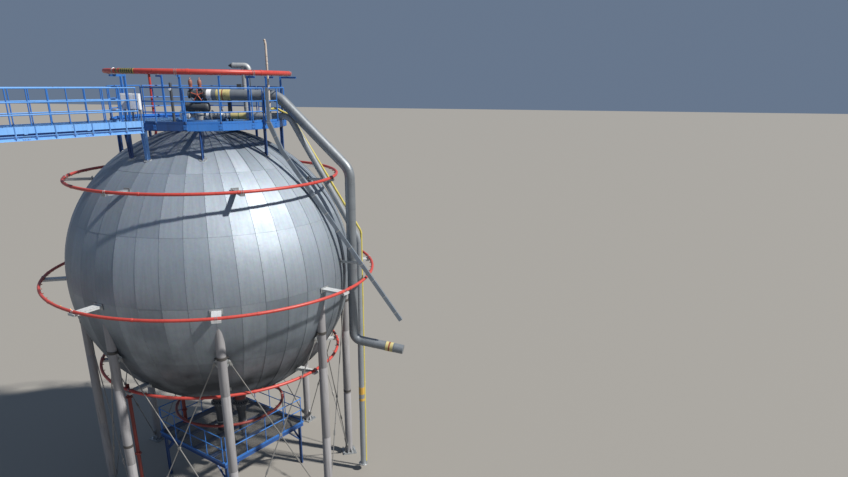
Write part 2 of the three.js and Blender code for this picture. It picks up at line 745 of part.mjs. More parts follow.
// The origin is the middle of the tank's plan at ground level
tank.updateMatrixWorld(true);
const extent = new THREE.Box3().setFromObject(tank);
tank.position.x = -(extent.min.x + extent.max.x) / 2;
tank.position.y = -(extent.min.y + extent.max.y) / 2;

export default tank;
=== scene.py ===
import math
import random

import bmesh
import bpy
from mathutils import Matrix, Vector


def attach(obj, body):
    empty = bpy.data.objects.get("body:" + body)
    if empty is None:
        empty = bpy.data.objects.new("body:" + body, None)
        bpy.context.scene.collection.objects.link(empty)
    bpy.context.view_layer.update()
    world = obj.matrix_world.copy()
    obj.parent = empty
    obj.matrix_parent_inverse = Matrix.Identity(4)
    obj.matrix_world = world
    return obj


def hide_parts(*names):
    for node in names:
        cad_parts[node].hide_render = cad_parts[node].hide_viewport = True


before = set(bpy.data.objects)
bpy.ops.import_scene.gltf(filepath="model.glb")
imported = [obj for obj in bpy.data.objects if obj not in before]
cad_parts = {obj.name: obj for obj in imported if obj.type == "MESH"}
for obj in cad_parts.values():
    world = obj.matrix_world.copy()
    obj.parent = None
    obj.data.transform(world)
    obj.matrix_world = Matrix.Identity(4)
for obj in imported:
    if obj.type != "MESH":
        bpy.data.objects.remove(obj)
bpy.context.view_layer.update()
scene = bpy.context.scene

# Viewpoint and studio: the camera stands above the tank's bridge side and looks down on it a little.
# Below is a pale floor under a broad, warm key lamp from the right and an even, cool sky of soft fill.
tank_axis = Vector((-0.6572, 0.62533, 9.6))
along_x = Vector((1, 0, 0))
camera_place = (7.8144, -24.6917, 16.7574)
view_pitch = 0.35364
view_roll = 0.012725
key_direction = Vector((0.683, -0.183, 0.707))
floor_half = 400
square = ((-1, -1), (1, -1), (1, 1), (-1, 1))


def at(x, y, level):
    return tank_axis + Vector((x, y, level))


def linear(hex_colour):
    channels = [int(hex_colour[i:i + 2], 16) / 255 for i in (1, 3, 5)]
    return tuple(c / 12.92 if c <= 0.04045 else ((c + 0.055) / 1.055) ** 2.4 for c in channels) + (1.0,)


def add_node(tree, kind, links=None, **settings):
    node = tree.nodes.new(kind)
    for key, value in settings.items():
        setattr(node, key, value)
    for socket, value in (links or {}).items():
        if isinstance(value, bpy.types.NodeSocket):
            tree.links.new(value, node.inputs[socket])
        else:
            node.inputs[socket].default_value = value
    return node


upward = Vector((0, math.sin(view_pitch), math.cos(view_pitch)))
view_right = along_x * math.cos(view_roll) + upward * math.sin(view_roll)
view_up = upward * math.cos(view_roll) - along_x * math.sin(view_roll)
camera_data = bpy.data.cameras.new("viewpoint")
camera_data.sensor_width = 36
camera_data.lens = 27.35
camera_data.shift_y = 0.09375
camera_data.clip_end = 500
camera = bpy.data.objects.new("viewpoint", camera_data)
camera.matrix_world = Matrix.Translation(camera_place) @ Matrix(
    (view_right, view_up, view_right.cross(view_up))).transposed().to_4x4()
scene.collection.objects.link(camera)
scene.camera = camera

scene.view_settings.view_transform = "Standard"
key_lamp = bpy.data.lights.new("key_lamp", "SUN")
key_lamp.energy = 4.9
key_lamp.angle = math.radians(2.5)
key_lamp.color = (1.0, 0.955, 0.89)
key_holder = bpy.data.objects.new("key_lamp", key_lamp)
key_holder.rotation_mode = "QUATERNION"
key_holder.rotation_quaternion = key_direction.to_track_quat("Z", "Y")
scene.collection.objects.link(key_holder)

sky = bpy.data.worlds.new("even_sky")
sky.use_nodes = True
sky.node_tree.nodes["Background"].inputs["Color"].default_value = linear("#b4cdf0")
sky.node_tree.nodes["Background"].inputs["Strength"].default_value = 0.30
scene.world = sky

floor_finish = bpy.data.materials.new("studio_floor")
floor_finish.use_nodes = True
floor_shader = floor_finish.node_tree.nodes["Principled BSDF"]
floor_shader.inputs["Base Color"].default_value = linear("#98958f")
floor_shader.inputs["Roughness"].default_value = 0.9
floor_mesh = bpy.data.meshes.new("studio_floor")
floor_mesh.from_pydata([(x * floor_half, y * floor_half, 0) for x, y in square], [], [(0, 1, 2, 3)])
floor_mesh.materials.append(floor_finish)
studio_floor = bpy.data.objects.new("studio_floor", floor_mesh)
scene.collection.objects.link(studio_floor)

# Cladding: forty gores of thin aluminium sheet over the insulation, in six rows from pole to pole.
# Each sheet is bent along its length only and laps its neighbours, with a row of rivets in each lap.
gore_count = 40
gore_turn = 360 / gore_count
flat_share = math.cos(math.radians(gore_turn / 2))
first_seam = -73.2
sphere_radius = 5.4
sheet_lap = 0.035
sheet_step = 0.005
sheet_depth = 0.007
sheet_hem = 0.03
last_latitude = 87.5
rivet_latitude = 84
rivet_pitch = 0.28
sheet_rows = (
    ("bottom_cap", -90, -50), ("lower_zone", -50, -24), ("under_equator", -24, 0),
    ("over_equator", 0, 25), ("upper_zone", 25, 50), ("top_cap", 50, 90),
)


def polar(azimuth, radius, level):
    turn = math.radians(azimuth)
    return at(radius * math.cos(turn), radius * math.sin(turn), level)


def ray(azimuth, latitude=0):
    turn = math.radians(azimuth)
    rise = math.radians(latitude)
    return Vector((math.cos(rise) * math.cos(turn), math.cos(rise) * math.sin(turn), math.sin(rise)))


def finished(bm, name, finishes, replaced, crease=35):
    bm.normal_update()
    mesh = bpy.data.meshes.new(name)
    bm.to_mesh(mesh)
    bm.free()
    for finish in finishes:
        mesh.materials.append(finish)
    mesh.shade_smooth()
    mesh.set_sharp_from_angle(angle=math.radians(crease))
    piece = bpy.data.objects.new(name, mesh)
    scene.collection.objects.link(piece)
    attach(piece, "root")
    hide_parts(*replaced)


def growth_tree(name, sizes):
    tree = bpy.data.node_groups.new(name, "GeometryNodeTree")
    for socket, kind in [("Geometry", "Geometry"), *sizes, ("Finish", "Material")]:
        tree.interface.new_socket(socket, in_out="INPUT", socket_type="NodeSocket" + kind)
    tree.interface.new_socket("Geometry", in_out="OUTPUT", socket_type="NodeSocketGeometry")
    return tree, tree.nodes.new("NodeGroupInput").outputs


def end_tree(tree, grown, finish):
    real = add_node(tree, "GeometryNodeRealizeInstances", {"Geometry": grown})
    done = add_node(tree, "GeometryNodeSetMaterial", {
        "Geometry": real.outputs["Geometry"], "Material": finish,
    })
    add_node(tree, "NodeGroupOutput", {"Geometry": done.outputs["Geometry"]})


def grow(bm, tree, skeleton, sizes, finish):
    holder = bpy.data.objects.new("skeleton", skeleton)
    scene.collection.objects.link(holder)
    growth = holder.modifiers.new("growth", "NODES")
    growth.node_group = tree
    for item in tree.interface.items_tree:
        if item.in_out == "INPUT" and item.name in sizes:
            growth[item.identifier] = sizes[item.name]
    grown = bpy.data.meshes.new_from_object(holder.evaluated_get(bpy.context.evaluated_depsgraph_get()))
    count = len(bm.faces)
    bm.from_mesh(grown)
    bm.faces.ensure_lookup_table()
    for face in bm.faces[count:]:
        face.material_index = finish
    bpy.data.meshes.remove(grown)
    bpy.data.objects.remove(holder)
    bpy.data.meshes.remove(skeleton)


# The stud tree sets a small tapered head on each listed spot, turned to the direction stored there
stud_tree, stud_sizes = growth_tree("heads_on_spots", (
    ("Sides", "Int"), ("Foot Radius", "Float"), ("Tip Radius", "Float"), ("Height", "Float"),
))
stud_head = add_node(stud_tree, "GeometryNodeMeshCone", {
    "Vertices": stud_sizes["Sides"], "Radius Top": stud_sizes["Tip Radius"],
    "Radius Bottom": stud_sizes["Foot Radius"], "Depth": stud_sizes["Height"],
}, fill_type="NGON")
stud_aim = add_node(stud_tree, "GeometryNodeInputNamedAttribute", {
    "Name": "aim",
}, data_type="FLOAT_VECTOR")
stud_turn = add_node(stud_tree, "FunctionNodeAlignRotationToVector", {
    "Vector": stud_aim.outputs["Attribute"],
}, axis="Z")
stud_set = add_node(stud_tree, "GeometryNodeInstanceOnPoints", {
    "Points": stud_sizes["Geometry"], "Instance": stud_head.outputs["Mesh"],
    "Rotation": stud_turn.outputs["Rotation"],
})
end_tree(stud_tree, stud_set.outputs["Instances"], stud_sizes["Finish"])


def heads(bm, spots, foot, tip, height, sides=6, finish=0):
    skeleton = bpy.data.meshes.new("spots")
    skeleton.from_pydata([point for point, aim in spots], [], [])
    aims = skeleton.attributes.new("aim", "FLOAT_VECTOR", "POINT")
    aims.data.foreach_set("vector", [number for point, aim in spots for number in aim])
    grow(bm, stud_tree, skeleton, {
        "Sides": sides, "Foot Radius": foot, "Tip Radius": tip, "Height": height,
    }, finish)


# Dirt shows where a value passes from low to high, up to the given amount
def dirtied(tree, under, dirt, value, low, high, amount):
    mask = add_node(tree, "ShaderNodeMapRange", {
        "Value": value, "From Min": low, "From Max": high, "To Min": 0.0, "To Max": amount,
    })
    return add_node(tree, "ShaderNodeMix", {
        "Factor": mask.outputs["Result"], 6: under, 7: linear(dirt),
    }, data_type="RGBA").outputs[2]


# Colour, gloss that varies with a cloudy noise, and a fine relief, put on the material's shader
def surfaced(tree, colour, metallic, cloud, gloss, relief, strength, depth):
    shader = tree.nodes["Principled BSDF"]
    tree.links.new(colour, shader.inputs["Base Color"])
    shader.inputs["Metallic"].default_value = metallic
    sheen = add_node(tree, "ShaderNodeMapRange", {
        "Value": cloud, "From Min": 0.3, "From Max": 0.7, "To Min": gloss[0], "To Max": gloss[1],
    })
    tree.links.new(sheen.outputs["Result"], shader.inputs["Roughness"])
    bumps = add_node(tree, "ShaderNodeBump", {
        "Height": relief, "Strength": strength, "Distance": depth,
    })
    tree.links.new(bumps.outputs["Normal"], shader.inputs["Normal"])


# Rolled aluminium sheet, years in the weather: a dull blue-grey oxide bloom, faintly mottled, each sheet
# a tone of its own, dirt held in the laps, rain streaks down the sheets, and painted shade darkening the
# lower half.
cladding_finish = bpy.data.materials.new("weathered_aluminium_sheet_painted_shade")
cladding_finish.use_nodes = True
bloom = cladding_finish.node_tree
bloom_place = add_node(bloom, "ShaderNodeTexCoord").outputs["Object"]
bloom_tone = add_node(bloom, "ShaderNodeAttribute", attribute_name="tone").outputs["Fac"]
bloom_rim = add_node(bloom, "ShaderNodeAttribute", attribute_name="rim").outputs["Fac"]
bloom_sheet = add_node(bloom, "ShaderNodeUVMap", uv_map="sheet").outputs["UV"]
oxide = add_node(bloom, "ShaderNodeMix", {
    "Factor": bloom_tone, 6: linear("#86929e"), 7: linear("#b8c3ce"),
}, data_type="RGBA")
mottle = add_node(bloom, "ShaderNodeTexVoronoi", {"Vector": bloom_place, "Scale": 16.0}, feature="F1")
mottled = add_node(bloom, "ShaderNodeMix", {
    "Factor": 0.04, 6: oxide.outputs[2], 7: mottle.outputs["Color"],
}, data_type="RGBA", blend_type="OVERLAY")
long_streaks = add_node(bloom, "ShaderNodeMapping", {
    "Vector": bloom_sheet, "Scale": (9.0, 0.55, 1.0),
})
rain = add_node(bloom, "ShaderNodeTexNoise", {
    "Vector": long_streaks.outputs["Vector"], "Scale": 1.0, "Detail": 4.0, "Roughness": 0.6,
})
streaked = dirtied(bloom, mottled.outputs[2], "#666c70", rain.outputs["Fac"], 0.45, 0.75, 0.18)
cloud = add_node(bloom, "ShaderNodeTexNoise", {"Vector": bloom_place, "Scale": 0.7, "Detail": 5.0})
bloom_height = add_node(bloom, "ShaderNodeSeparateXYZ", {"Vector": bloom_place})
# Darker towards the bottom of the sphere: painted shade of the underside and a painted dark reflection of
# the ground, broken up by the cloud noise
painted_underside_ramp = add_node(bloom, "ShaderNodeMapRange", {
    "Value": bloom_height.outputs["Z"], "From Min": 11.4, "From Max": 5.4, "To Min": 0.0, "To Max": 1.85,
})
painted_underside_mask = add_node(bloom, "ShaderNodeMath", {
    0: painted_underside_ramp.outputs["Result"], 1: cloud.outputs["Fac"],
}, operation="MULTIPLY")
painted_underside = add_node(bloom, "ShaderNodeMix", {
    "Factor": painted_underside_mask.outputs["Value"], 6: streaked, 7: linear("#3a3f46"),
}, data_type="RGBA")
lapped = dirtied(bloom, painted_underside.outputs[2], "#3b4045", bloom_rim, 0.25, 1.0, 0.10)
buckle = add_node(bloom, "ShaderNodeTexNoise", {"Vector": bloom_place, "Scale": 2.2, "Detail": 2.0})
surfaced(bloom, lapped, 0.62, cloud.outputs["Fac"], (0.52, 0.64), buckle.outputs["Fac"], 0.16, 0.05)
sheet_random = random.Random(7)


def cladding_sheet(bm, layers, azimuth, low, high):
    uv_layer, tone_layer, rim_layer = layers
    low_edge = low - math.degrees(sheet_lap / sphere_radius) if low > -90 else -last_latitude
    span = min(high, last_latitude) - low_edge
    length = math.radians(span) * sphere_radius
    rows = max(4, round(span / 3))
    along = [0.0, sheet_hem / length] + [k / rows for k in range(1, rows)] + [1 - sheet_hem / length, 1.0]
    tone = min(1.0, max(0.0, sheet_random.gauss(0.5, 0.15)))
    lift = sheet_random.uniform(0.0, 0.003)
    tilt = sheet_random.uniform(-0.004, 0.004)
    grids = []
    for depth in (0.0, sheet_depth):
        grid = []
        for v in along:
            latitude = low_edge + v * span
            width = max(0.02, math.radians(gore_turn) * sphere_radius * math.cos(math.radians(latitude)))
            lap = min(sheet_lap, width * 0.2) / width
            strip = min(sheet_hem, width * 0.2) / width
            line = []
            for u in (-lap, -lap + strip, 0.5, 1 - strip, 1.0):
                crown = 1 - (2 * u - 1) ** 2
                chord = flat_share / math.cos(math.radians((u - 0.5) * gore_turn))
                reach = sphere_radius * chord + sheet_step * (1 - u) + sheet_step * (1 - v)
                reach += 0.004 * crown + lift + tilt * (u - 0.5) - depth
                spot = tank_axis + ray(azimuth + u * gore_turn, latitude) * reach
                line.append((bm.verts.new(spot), ((u - 0.5) * width, v * length)))
            grid.append(line)
        grids.append(grid)
    outer, inner = grids
    last = len(along) - 1

    def skin(corners, rims=(1.0, 1.0, 1.0, 1.0)):
        face = bm.faces.new([vertex for vertex, place in corners])
        face[tone_layer] = tone
        for loop, (vertex, place), rim in zip(face.loops, corners, rims):
            loop[uv_layer].uv = place
            loop[rim_layer] = rim

    for i in range(last):
        for j in range(4):
            spots = [(i, j), (i, j + 1), (i + 1, j + 1), (i + 1, j)]
            skin([outer[a][b] for a, b in spots], [float(a in (0, last) or b in (0, 4)) for a, b in spots])
            skin([inner[a][b] for a, b in reversed(spots)])
    for i in range(last):
        skin([outer[i][0], outer[i + 1][0], inner[i + 1][0], inner[i][0]])
        skin([inner[i][4], inner[i + 1][4], outer[i + 1][4], outer[i][4]])
    for j in range(4):
        skin([outer[0][j], outer[0][j + 1], inner[0][j + 1], inner[0][j]])
        skin([inner[last][j], inner[last][j + 1], outer[last][j + 1], outer[last][j]])


for row_name, row_low, row_high in sheet_rows:
    row = bmesh.new()
    layers = (row.loops.layers.uv.new("sheet"), row.faces.layers.float.new("tone"),
              row.loops.layers.float.new("rim"))
    seams = [first_seam + gore * gore_turn for gore in range(gore_count)]
    for seam in seams:
        cladding_sheet(row, layers, seam, row_low, row_high)
    bottom = max(row_low, -rivet_latitude)
    span = min(row_high, rivet_latitude) - bottom
    count = round(math.radians(span) * sphere_radius / rivet_pitch)
    aims = [ray(seam, bottom + (k + 0.5) / count * span) for seam in seams for k in range(count)]
    heads(row, [(tank_axis + aim * (sphere_radius + 0.008), aim) for aim in aims], 0.011, 0.006, 0.008)
    for latitude in (row_low, row_high):
        if abs(latitude) == 90:
            centre = at(0, 0, latitude / 90 * (sphere_radius - 0.02))
            bmesh.ops.create_cone(row, cap_ends=True, segments=40, radius1=0.30, radius2=0.30, depth=0.05,
                                  matrix=Matrix.Translation(centre))
    finished(row, "cladding_" + row_name, [cladding_finish], ["shell_" + row_name], crease=40)

# Legs: eight round steel columns under fire-resistant casing, with a dark clamp band above the rods, each
# on a ribbed base plate with anchor bolts. Their tops run into the cladding, with lugs for the rods.
leg_count = 8
leg_circle = 5.18
leg_radius = 0.166
leg_bottom = -9.6
leg_joints = (3.1, 6.2)
leg_height = 9.05
lug_levels = (-2.15, -9.18)
leg_bands = {2: (-6.4,), 4: (-5.2,), 7: (-5.75,)}
straight_up = Vector((0, 0, 1))


def up(height):
    return straight_up * height


def outward_at(azimuth, radius, level):
    spot = polar(azimuth, radius, level)
    outward = (spot - at(0, 0, level)).normalized()
    return spot, outward, straight_up.cross(outward)


def circle_points(centre, side, other, radius, count, shift=0.0):
    turns = [2 * math.pi * (k + shift) / count for k in range(count)]
    return [centre + (side * math.cos(turn) + other * math.sin(turn)) * radius for turn in turns]


def lathed(bm, base, aim, profile, sides=24, finish=0):
    aim = aim.normalized()
    side = aim.orthogonal().normalized()
    rings = []
    for along, radius in profile:
        points = circle_points(base + aim * along, side, aim.cross(side), radius, sides if radius else 1)
        rings.append([bm.verts.new(point) for point in points])
    for near, far in zip(rings, rings[1:]):
        for k in range(sides):
            corners = []
            for ring, step in ((near, k), (near, k + 1), (far, k + 1), (far, k)):
                vertex = ring[step % len(ring)]
                if vertex not in corners:
                    corners.append(vertex)
            if len(corners) > 2:
                bm.faces.new(corners).material_index = finish


def turned(bm, base, aim, profile, sides=24, finish=0):
    first, last = [(profile[end][0], 0) for end in (0, -1)]
    lathed(bm, base, aim, [first, *profile, last], sides, finish)


def disc(bm, base, aim, length, radius, sides=24, finish=0, edge=0.004):
    turned(bm, base, aim, (
        (0, radius - edge), (edge, radius), (length - edge, radius), (length, radius - edge),
    ), sides, finish)


def plate(bm, start, end, width, depth, finish=0):
    run = (end - start).normalized()
    upright = Vector((0, 1, 0)) if abs(run.z) > 0.99 else straight_up
    side = upright.cross(run).normalized()
    rise = run.cross(side)
    corners = [
        bm.verts.new(end_point + side * (a * width / 2) + rise * (b * depth / 2))
        for end_point in (start, end) for a, b in square
    ]
    for picks in ((3, 2, 1, 0), (4, 5, 6, 7), (1, 5, 4, 0), (2, 6, 5, 1), (3, 7, 6, 2), (0, 4, 7, 3)):
        bm.faces.new([corners[k] for k in picks]).material_index = finish


def centred(bm, middle, half_run, width, depth, finish=0):
    plate(bm, middle - half_run, middle + half_run, width, depth, finish)


def raised(bm, spot, low, high, width, depth, finish=0):
    plate(bm, spot + up(low), spot + up(high), width, depth, finish)


def gusset(bm, heel, out, rise, thickness, finish=0):
    side = out.cross(rise).normalized() * (thickness / 2)
    near = [bm.verts.new(point - side) for point in (heel, heel + out, heel + rise)]
    far = [bm.verts.new(point + side) for point in (heel, heel + out, heel + rise)]
    bm.faces.new(near).material_index = finish
    bm.faces.new(far[::-1]).material_index = finish
    for a, b in ((0, 1), (1, 2), (2, 0)):
        bm.faces.new((near[b], near[a], far[a], far[b])).material_index = finish


# Weathered coat: a colour that is chalky where it faces up, patchy, stained down its length and gritty
# to the touch, over steel or fireproofing. Stains and chips are real rust and soot tones.
def coat(name, base, pale, stain, roughness, chips, stain_amount=0.35, metallic=0.0, patch_scale=1.4):
    finish = bpy.data.materials.new(name)
    finish.use_nodes = True
    tree = finish.node_tree
    place = add_node(tree, "ShaderNodeTexCoord").outputs["Object"]
    facing = add_node(tree, "ShaderNodeSeparateXYZ", {
        "Vector": add_node(tree, "ShaderNodeNewGeometry").outputs["Normal"],
    })
    patches = add_node(tree, "ShaderNodeTexNoise", {
        "Vector": place, "Scale": patch_scale, "Detail": 5.0,
    }).outputs["Fac"]
    chalk = add_node(tree, "ShaderNodeMapRange", {
        "Value": facing.outputs["Z"], "From Min": -0.3, "From Max": 1.0, "To Min": 0.0, "To Max": 0.55,
    })
    fade = add_node(tree, "ShaderNodeMath", {
        0: patches, 1: 0.45, 2: chalk.outputs["Result"],
    }, operation="MULTIPLY_ADD")
    faded = add_node(tree, "ShaderNodeMix", {
        "Factor": fade.outputs["Value"], 6: linear(base), 7: linear(pale),
    }, data_type="RGBA")
    run_down = add_node(tree, "ShaderNodeMapping", {"Vector": place, "Scale": (14.0, 14.0, 1.1)})
    runs = add_node(tree, "ShaderNodeTexNoise", {
        "Vector": run_down.outputs["Vector"], "Scale": 1.0, "Detail": 4.0,
    })
    stained = dirtied(tree, faded.outputs[2], stain, runs.outputs["Fac"], 0.5, 0.78, stain_amount)
    flakes = add_node(tree, "ShaderNodeTexNoise", {
        "Vector": place, "Scale": 17.0, "Detail": 6.0,
    }).outputs["Fac"]
    chipped = dirtied(tree, stained, "#5b3a2b", flakes, 0.74 - 0.12 * chips, 0.78 - 0.12 * chips, 1.0)
    surfaced(tree, chipped, metallic, patches, (roughness - 0.08, roughness + 0.12), flakes, 0.2, 0.01)
    return finish


# Fire-resistant mastic on the legs: warm grey, matt, patched and stained by rain
leg_casing = coat("fireproof_mastic_coat", "#86868a", "#a7a6a8", "#57544f", 0.78, 0.0, 0.45)
# Old bitumen repair band: near-black and half worn off
band_coat = coat("bitumen_band", "#3e3c3b", "#55524f", "#241f1d", 0.6, 0.2)
# Hot-dip galvanised steel of brackets and plates: light grey, faintly patchy, a little rust at the chips
zinc_steel = coat("galvanised_steel", "#9ba1a4", "#b9bdc0", "#6c6259", 0.42, 0.2, 0.3, 0.55, 2.6)


def leg_azimuth(index):
    return first_seam + index * 360 / leg_count


def toward(index, neighbour, level, distance):
    start = polar(leg_azimuth(index), leg_circle, level)
    run = polar(leg_azimuth(neighbour), leg_circle, level) - start
    return start + run.normalized() * distance


for index in range(leg_count):
    leg = bmesh.new()
    azimuth = leg_azimuth(index)
    foot, outward, across = outward_at(azimuth, leg_circle, leg_bottom)
    profile = [(0, leg_radius), (0.42, leg_radius)]
    for joint in leg_joints:
        profile += [(joint, leg_radius), (joint + 0.008, leg_radius - 0.005), (joint + 0.02, leg_radius)]
    profile.append((leg_height, leg_radius))
    turned(leg, foot + up(0.02), straight_up, profile, 32)
    centred(leg, foot + up(0.02), outward * 0.31, 0.62, 0.04, 1)
    for k in range(8):
        rib = ray(azimuth + 22.5 + k * 45)
        gusset(leg, foot + rib * 0.15 + up(0.04), rib * 0.14, up(0.26), 0.014, 1)
    for level in leg_bands.get(index, ()):
        disc(leg, polar(azimuth, leg_circle, level), straight_up, 0.11, leg_radius + 0.006, 32, 2)
    for level in lug_levels:
        for neighbour in (index - 1, index + 1):
            start = toward(index, neighbour, level, 0.1)
            end = toward(index, neighbour, level, 0.24)
            run = (end - start).normalized()
            side = run.cross(straight_up)
            plate(leg, start, end, 0.024, 0.17, 1)
            disc(leg, end - side * 0.012, side, 0.024, 0.085, 24, 1)
            for sign in (1, -1):
                heel = toward(index, neighbour, level, 0.155) + up(0.085 * sign)
                gusset(leg, heel, run * 0.09, up(0.13 * sign), 0.014, 1)
    anchors = [(foot + outward * a + across * b + up(0.058), straight_up)
               for a in (-0.25, 0.25) for b in (-0.25, 0.25)]
    heads(leg, anchors, 0.027, 0.025, 0.036, 6, 1)
    heads(leg, [(point + up(0.03), aim) for point, aim in anchors], 0.015, 0.014, 0.05, 10, 1)
    disc(leg, polar(azimuth, leg_circle, -1.98), straight_up, 0.11, leg_radius + 0.016, 32, 2)
    for side in (-1, 1):
        ear = polar(azimuth, leg_circle, -1.925) + across * (side * (leg_radius + 0.01))
        plate(leg, ear, ear + across * (side * 0.07), 0.07, 0.02, 2)
    finished(leg, f"leg_{index + 1}", [leg_casing, zinc_steel, band_coat], [f"column_{index + 1}"],
             crease=32)

# Bracing: a crossed pair of round tie rods in each bay, forked and pinned to the lugs, with a
# turnbuckle below the middle of each and a clamp plate where the two cross.
rod_steel = coat("weathered_rod_steel", "#7f807f", "#9c9c9a", "#6b4a38", 0.5, 0.35, 0.3, 0.35, 3.0)

# The tube tree draws a round tube along each line of the skeleton
tube_tree, tube_sizes = growth_tree("tubes_on_lines", (("Sides", "Int"), ("Radius", "Float")))
tube_lines = add_node(tube_tree, "GeometryNodeMeshToCurve", {"Mesh": tube_sizes["Geometry"]})
tube_round = add_node(tube_tree, "GeometryNodeCurvePrimitiveCircle", {
    "Resolution": tube_sizes["Sides"], "Radius": tube_sizes["Radius"],
})
tube_skin = add_node(tube_tree, "GeometryNodeCurveToMesh", {
    "Curve": tube_lines.outputs["Curve"], "Profile Curve": tube_round.outputs["Curve"], "Fill Caps": True,
})
end_tree(tube_tree, tube_skin.outputs["Mesh"], tube_sizes["Finish"])


def tubes(bm, lines, radius, sides=12, finish=0, closed=False):
    points = []
    edges = []
    for line in lines:
        first = len(points)
        points += line
        edges += [(first + k, first + k + 1) for k in range(len(line) - 1)]
        if closed:
            edges.append((len(points) - 1, first))
    skeleton = bpy.data.meshes.new("lines")
    skeleton.from_pydata(points, edges, [])
    grow(bm, tube_tree, skeleton, {"Sides": sides, "Radius": radius}, finish)


for index in range(leg_count):
    rods = bmesh.new()
    following = index + 1
    pins = [(toward(a, b, lug_levels[1], 0.27), toward(b, a, lug_levels[0], 0.27), shift)
            for a, b, shift in ((index, following, 0.011), (following, index, -0.011))]
    facing = ((pins[0][0] + pins[1][0]) / 2 - at(0, 0, lug_levels[1])).normalized()
    for low_pin, high_pin, shift in pins:
        run = (high_pin - low_pin).normalized()
        low_end = low_pin + run * 0.16 + facing * shift
        high_end = high_pin - run * 0.16 + facing * shift
        tubes(rods, [[low_end, high_end]], 0.02)
        turned(rods, low_end.lerp(high_end, 0.28), run, (
            (0, 0.034), (0.03, 0.042), (0.20, 0.042), (0.23, 0.034)), 6)
        for pin, inward in ((low_pin, run), (high_pin, -run)):
            disc(rods, pin - facing * 0.04, facing, 0.08, 0.026, 12)
            disc(rods, pin + inward * 0.13 - run * 0.035, run, 0.07, 0.036, 12)
            for cheek in (-1, 1):
                middle = pin + facing * (0.0205 * cheek)
                plate(rods, middle - inward * 0.045, middle + inward * 0.15, 0.014, 0.085)
    crossing = (pins[0][0] + pins[0][1]) / 2
    disc(rods, crossing - facing * 0.035, facing, 0.07, 0.06, 20)
    finished(rods, f"crossed_rods_{index + 1}", [rod_steel], [f"tie_rods_{index + 1}"])

# Service platform: a square floor of open grating under the sphere, in a frame of rolled beams on four
# legs, all in the plant's dark blue enamel, with kick plates round the edge.
navy_enamel = coat("dark_blue_enamel", "#1d3f77", "#3b66a3", "#2a2624", 0.45, 0.6, 0.3)
blue_enamel = coat("blue_enamel", "#1f63b8", "#4d8ed6", "#3a4653", 0.42, 0.5, 0.25)
dull_grating = coat("weathered_grating", "#5a5f64", "#7b8085", "#4a3b30", 0.5, 0.5, 0.4, 0.3, 2.6)
service_half = 2.2
service_level = -7.45
service_turn = math.radians(-35)
service_corners = [Vector(corner) for corner in square]
service_sides = list(zip(service_corners, service_corners[1:] + service_corners[:1]))
bearer_count = 72
cross_bar_count = 30


def on_service(spot, height):
    x, y = spot
    return at(x * math.cos(service_turn) - y * math.sin(service_turn),
              x * math.sin(service_turn) + y * math.cos(service_turn), service_level + height)


service = bmesh.new()


def service_bar(start, end, height, width, depth, finish=0):
    plate(service, on_service(start, height), on_service(end, height), width, depth, finish)


for corner, following in service_sides:
    for inset, height, width, depth, finish in (
        (0.036, -0.11, 0.010, 0.21, 0), (0.036, -0.213, 0.07, 0.012, 0), (0.036, -0.015, 0.07, 0.012, 0),
        (0.010, -0.02, 0.006, 0.09, 1),
    ):
        reach = service_half - inset
        service_bar(corner * reach, following * reach, height, width, depth, finish)
    spot = corner * (service_half - 0.15)
    top = on_service(spot, -0.21)
    base = on_service(spot, leg_bottom - service_level)
    for offset in (-0.067, 0.067):
        shift = on_service(spot + Vector((offset, 0)), -0.21) - top
        plate(service, base + shift, top + shift, 0.014, 0.15)
    plate(service, base, top, 0.14, 0.010)
    raised(service, base, 0, 0.02, 0.15, 0.15)
    for knee in (Vector((corner.x, 0)), Vector((0, corner.y))):
        plate(service, on_service(spot, -0.95), on_service(spot - knee * 0.75, -0.2), 0.06, 0.06)
for x in (-1.1, 0.0, 1.1):
    service_bar((x, 0.05 - service_half), (x, service_half - 0.05), -0.13, 0.09, 0.14)
for k in range(bearer_count):
    y = (service_half - 0.06) * (2 * k / (bearer_count - 1) - 1)
    service_bar((0.04 - service_half, y), (service_half - 0.04, y), -0.018, 0.005, 0.034, 2)
for k in range(cross_bar_count):
    x = (service_half - 0.08) * (2 * k / (cross_bar_count - 1) - 1)
    service_bar((x, 0.04 - service_half), (x, service_half - 0.04), -0.004, 0.007, 0.007, 2)
finished(service, "service_floor", [navy_enamel, blue_enamel, dull_grating],
         ["service_platform"])

# Service railing: round rails and posts on the platform's four sides, in the same blue enamel, with
# each post on a small bolted foot.
for k, (corner, following) in enumerate(service_sides):
    railing = bmesh.new()
    inset = (following - corner) * 0.03
    start = corner * (service_half - 0.03) + inset
    end = following * (service_half - 0.03) - inset
    tubes(railing, [[on_service(spot, height) for spot in (start, end)] for height in (0.6, 1.15)], 0.021)
    spots = [start.lerp(end, share) for share in (0.01, 0.255, 0.5, 0.745, 0.99)]
    for spot in spots:
        disc(railing, on_service(spot, 0.001), straight_up, 0.012, 0.055, 16)
    tubes(railing, [[on_service(spot, height) for height in (0.005, 1.15)] for spot in spots], 0.019)
    finished(railing, f"service_rail_{k + 1}", [blue_enamel], [f"service_railing_{k + 1}"])

# Bottom nozzles: two dark-painted necks, banded in a dull red darkened further as painted shade, with bolted
# flanges under the sphere, whose pipes go down through the service floor.
# Dull, faded red enamel, darkened further as painted shade for the pipes low down under the sphere
painted_shade_red_enamel = coat("dull_red_enamel_painted_shade", "#762725", "#934640", "#45251f", 0.5, 0.6, 0.35)
dark_casting = coat("dark_valve_paint", "#383d43", "#5a6067", "#4a4038", 0.48, 0.5, 0.3, 0.1)


def bolt_circle(base, aim, circle, count, height):
    aim = aim.normalized()
    side = aim.orthogonal().normalized()
    points = circle_points(base + aim * height, side, aim.cross(side), circle, count, 0.5)
    return [(point, aim) for point in points]


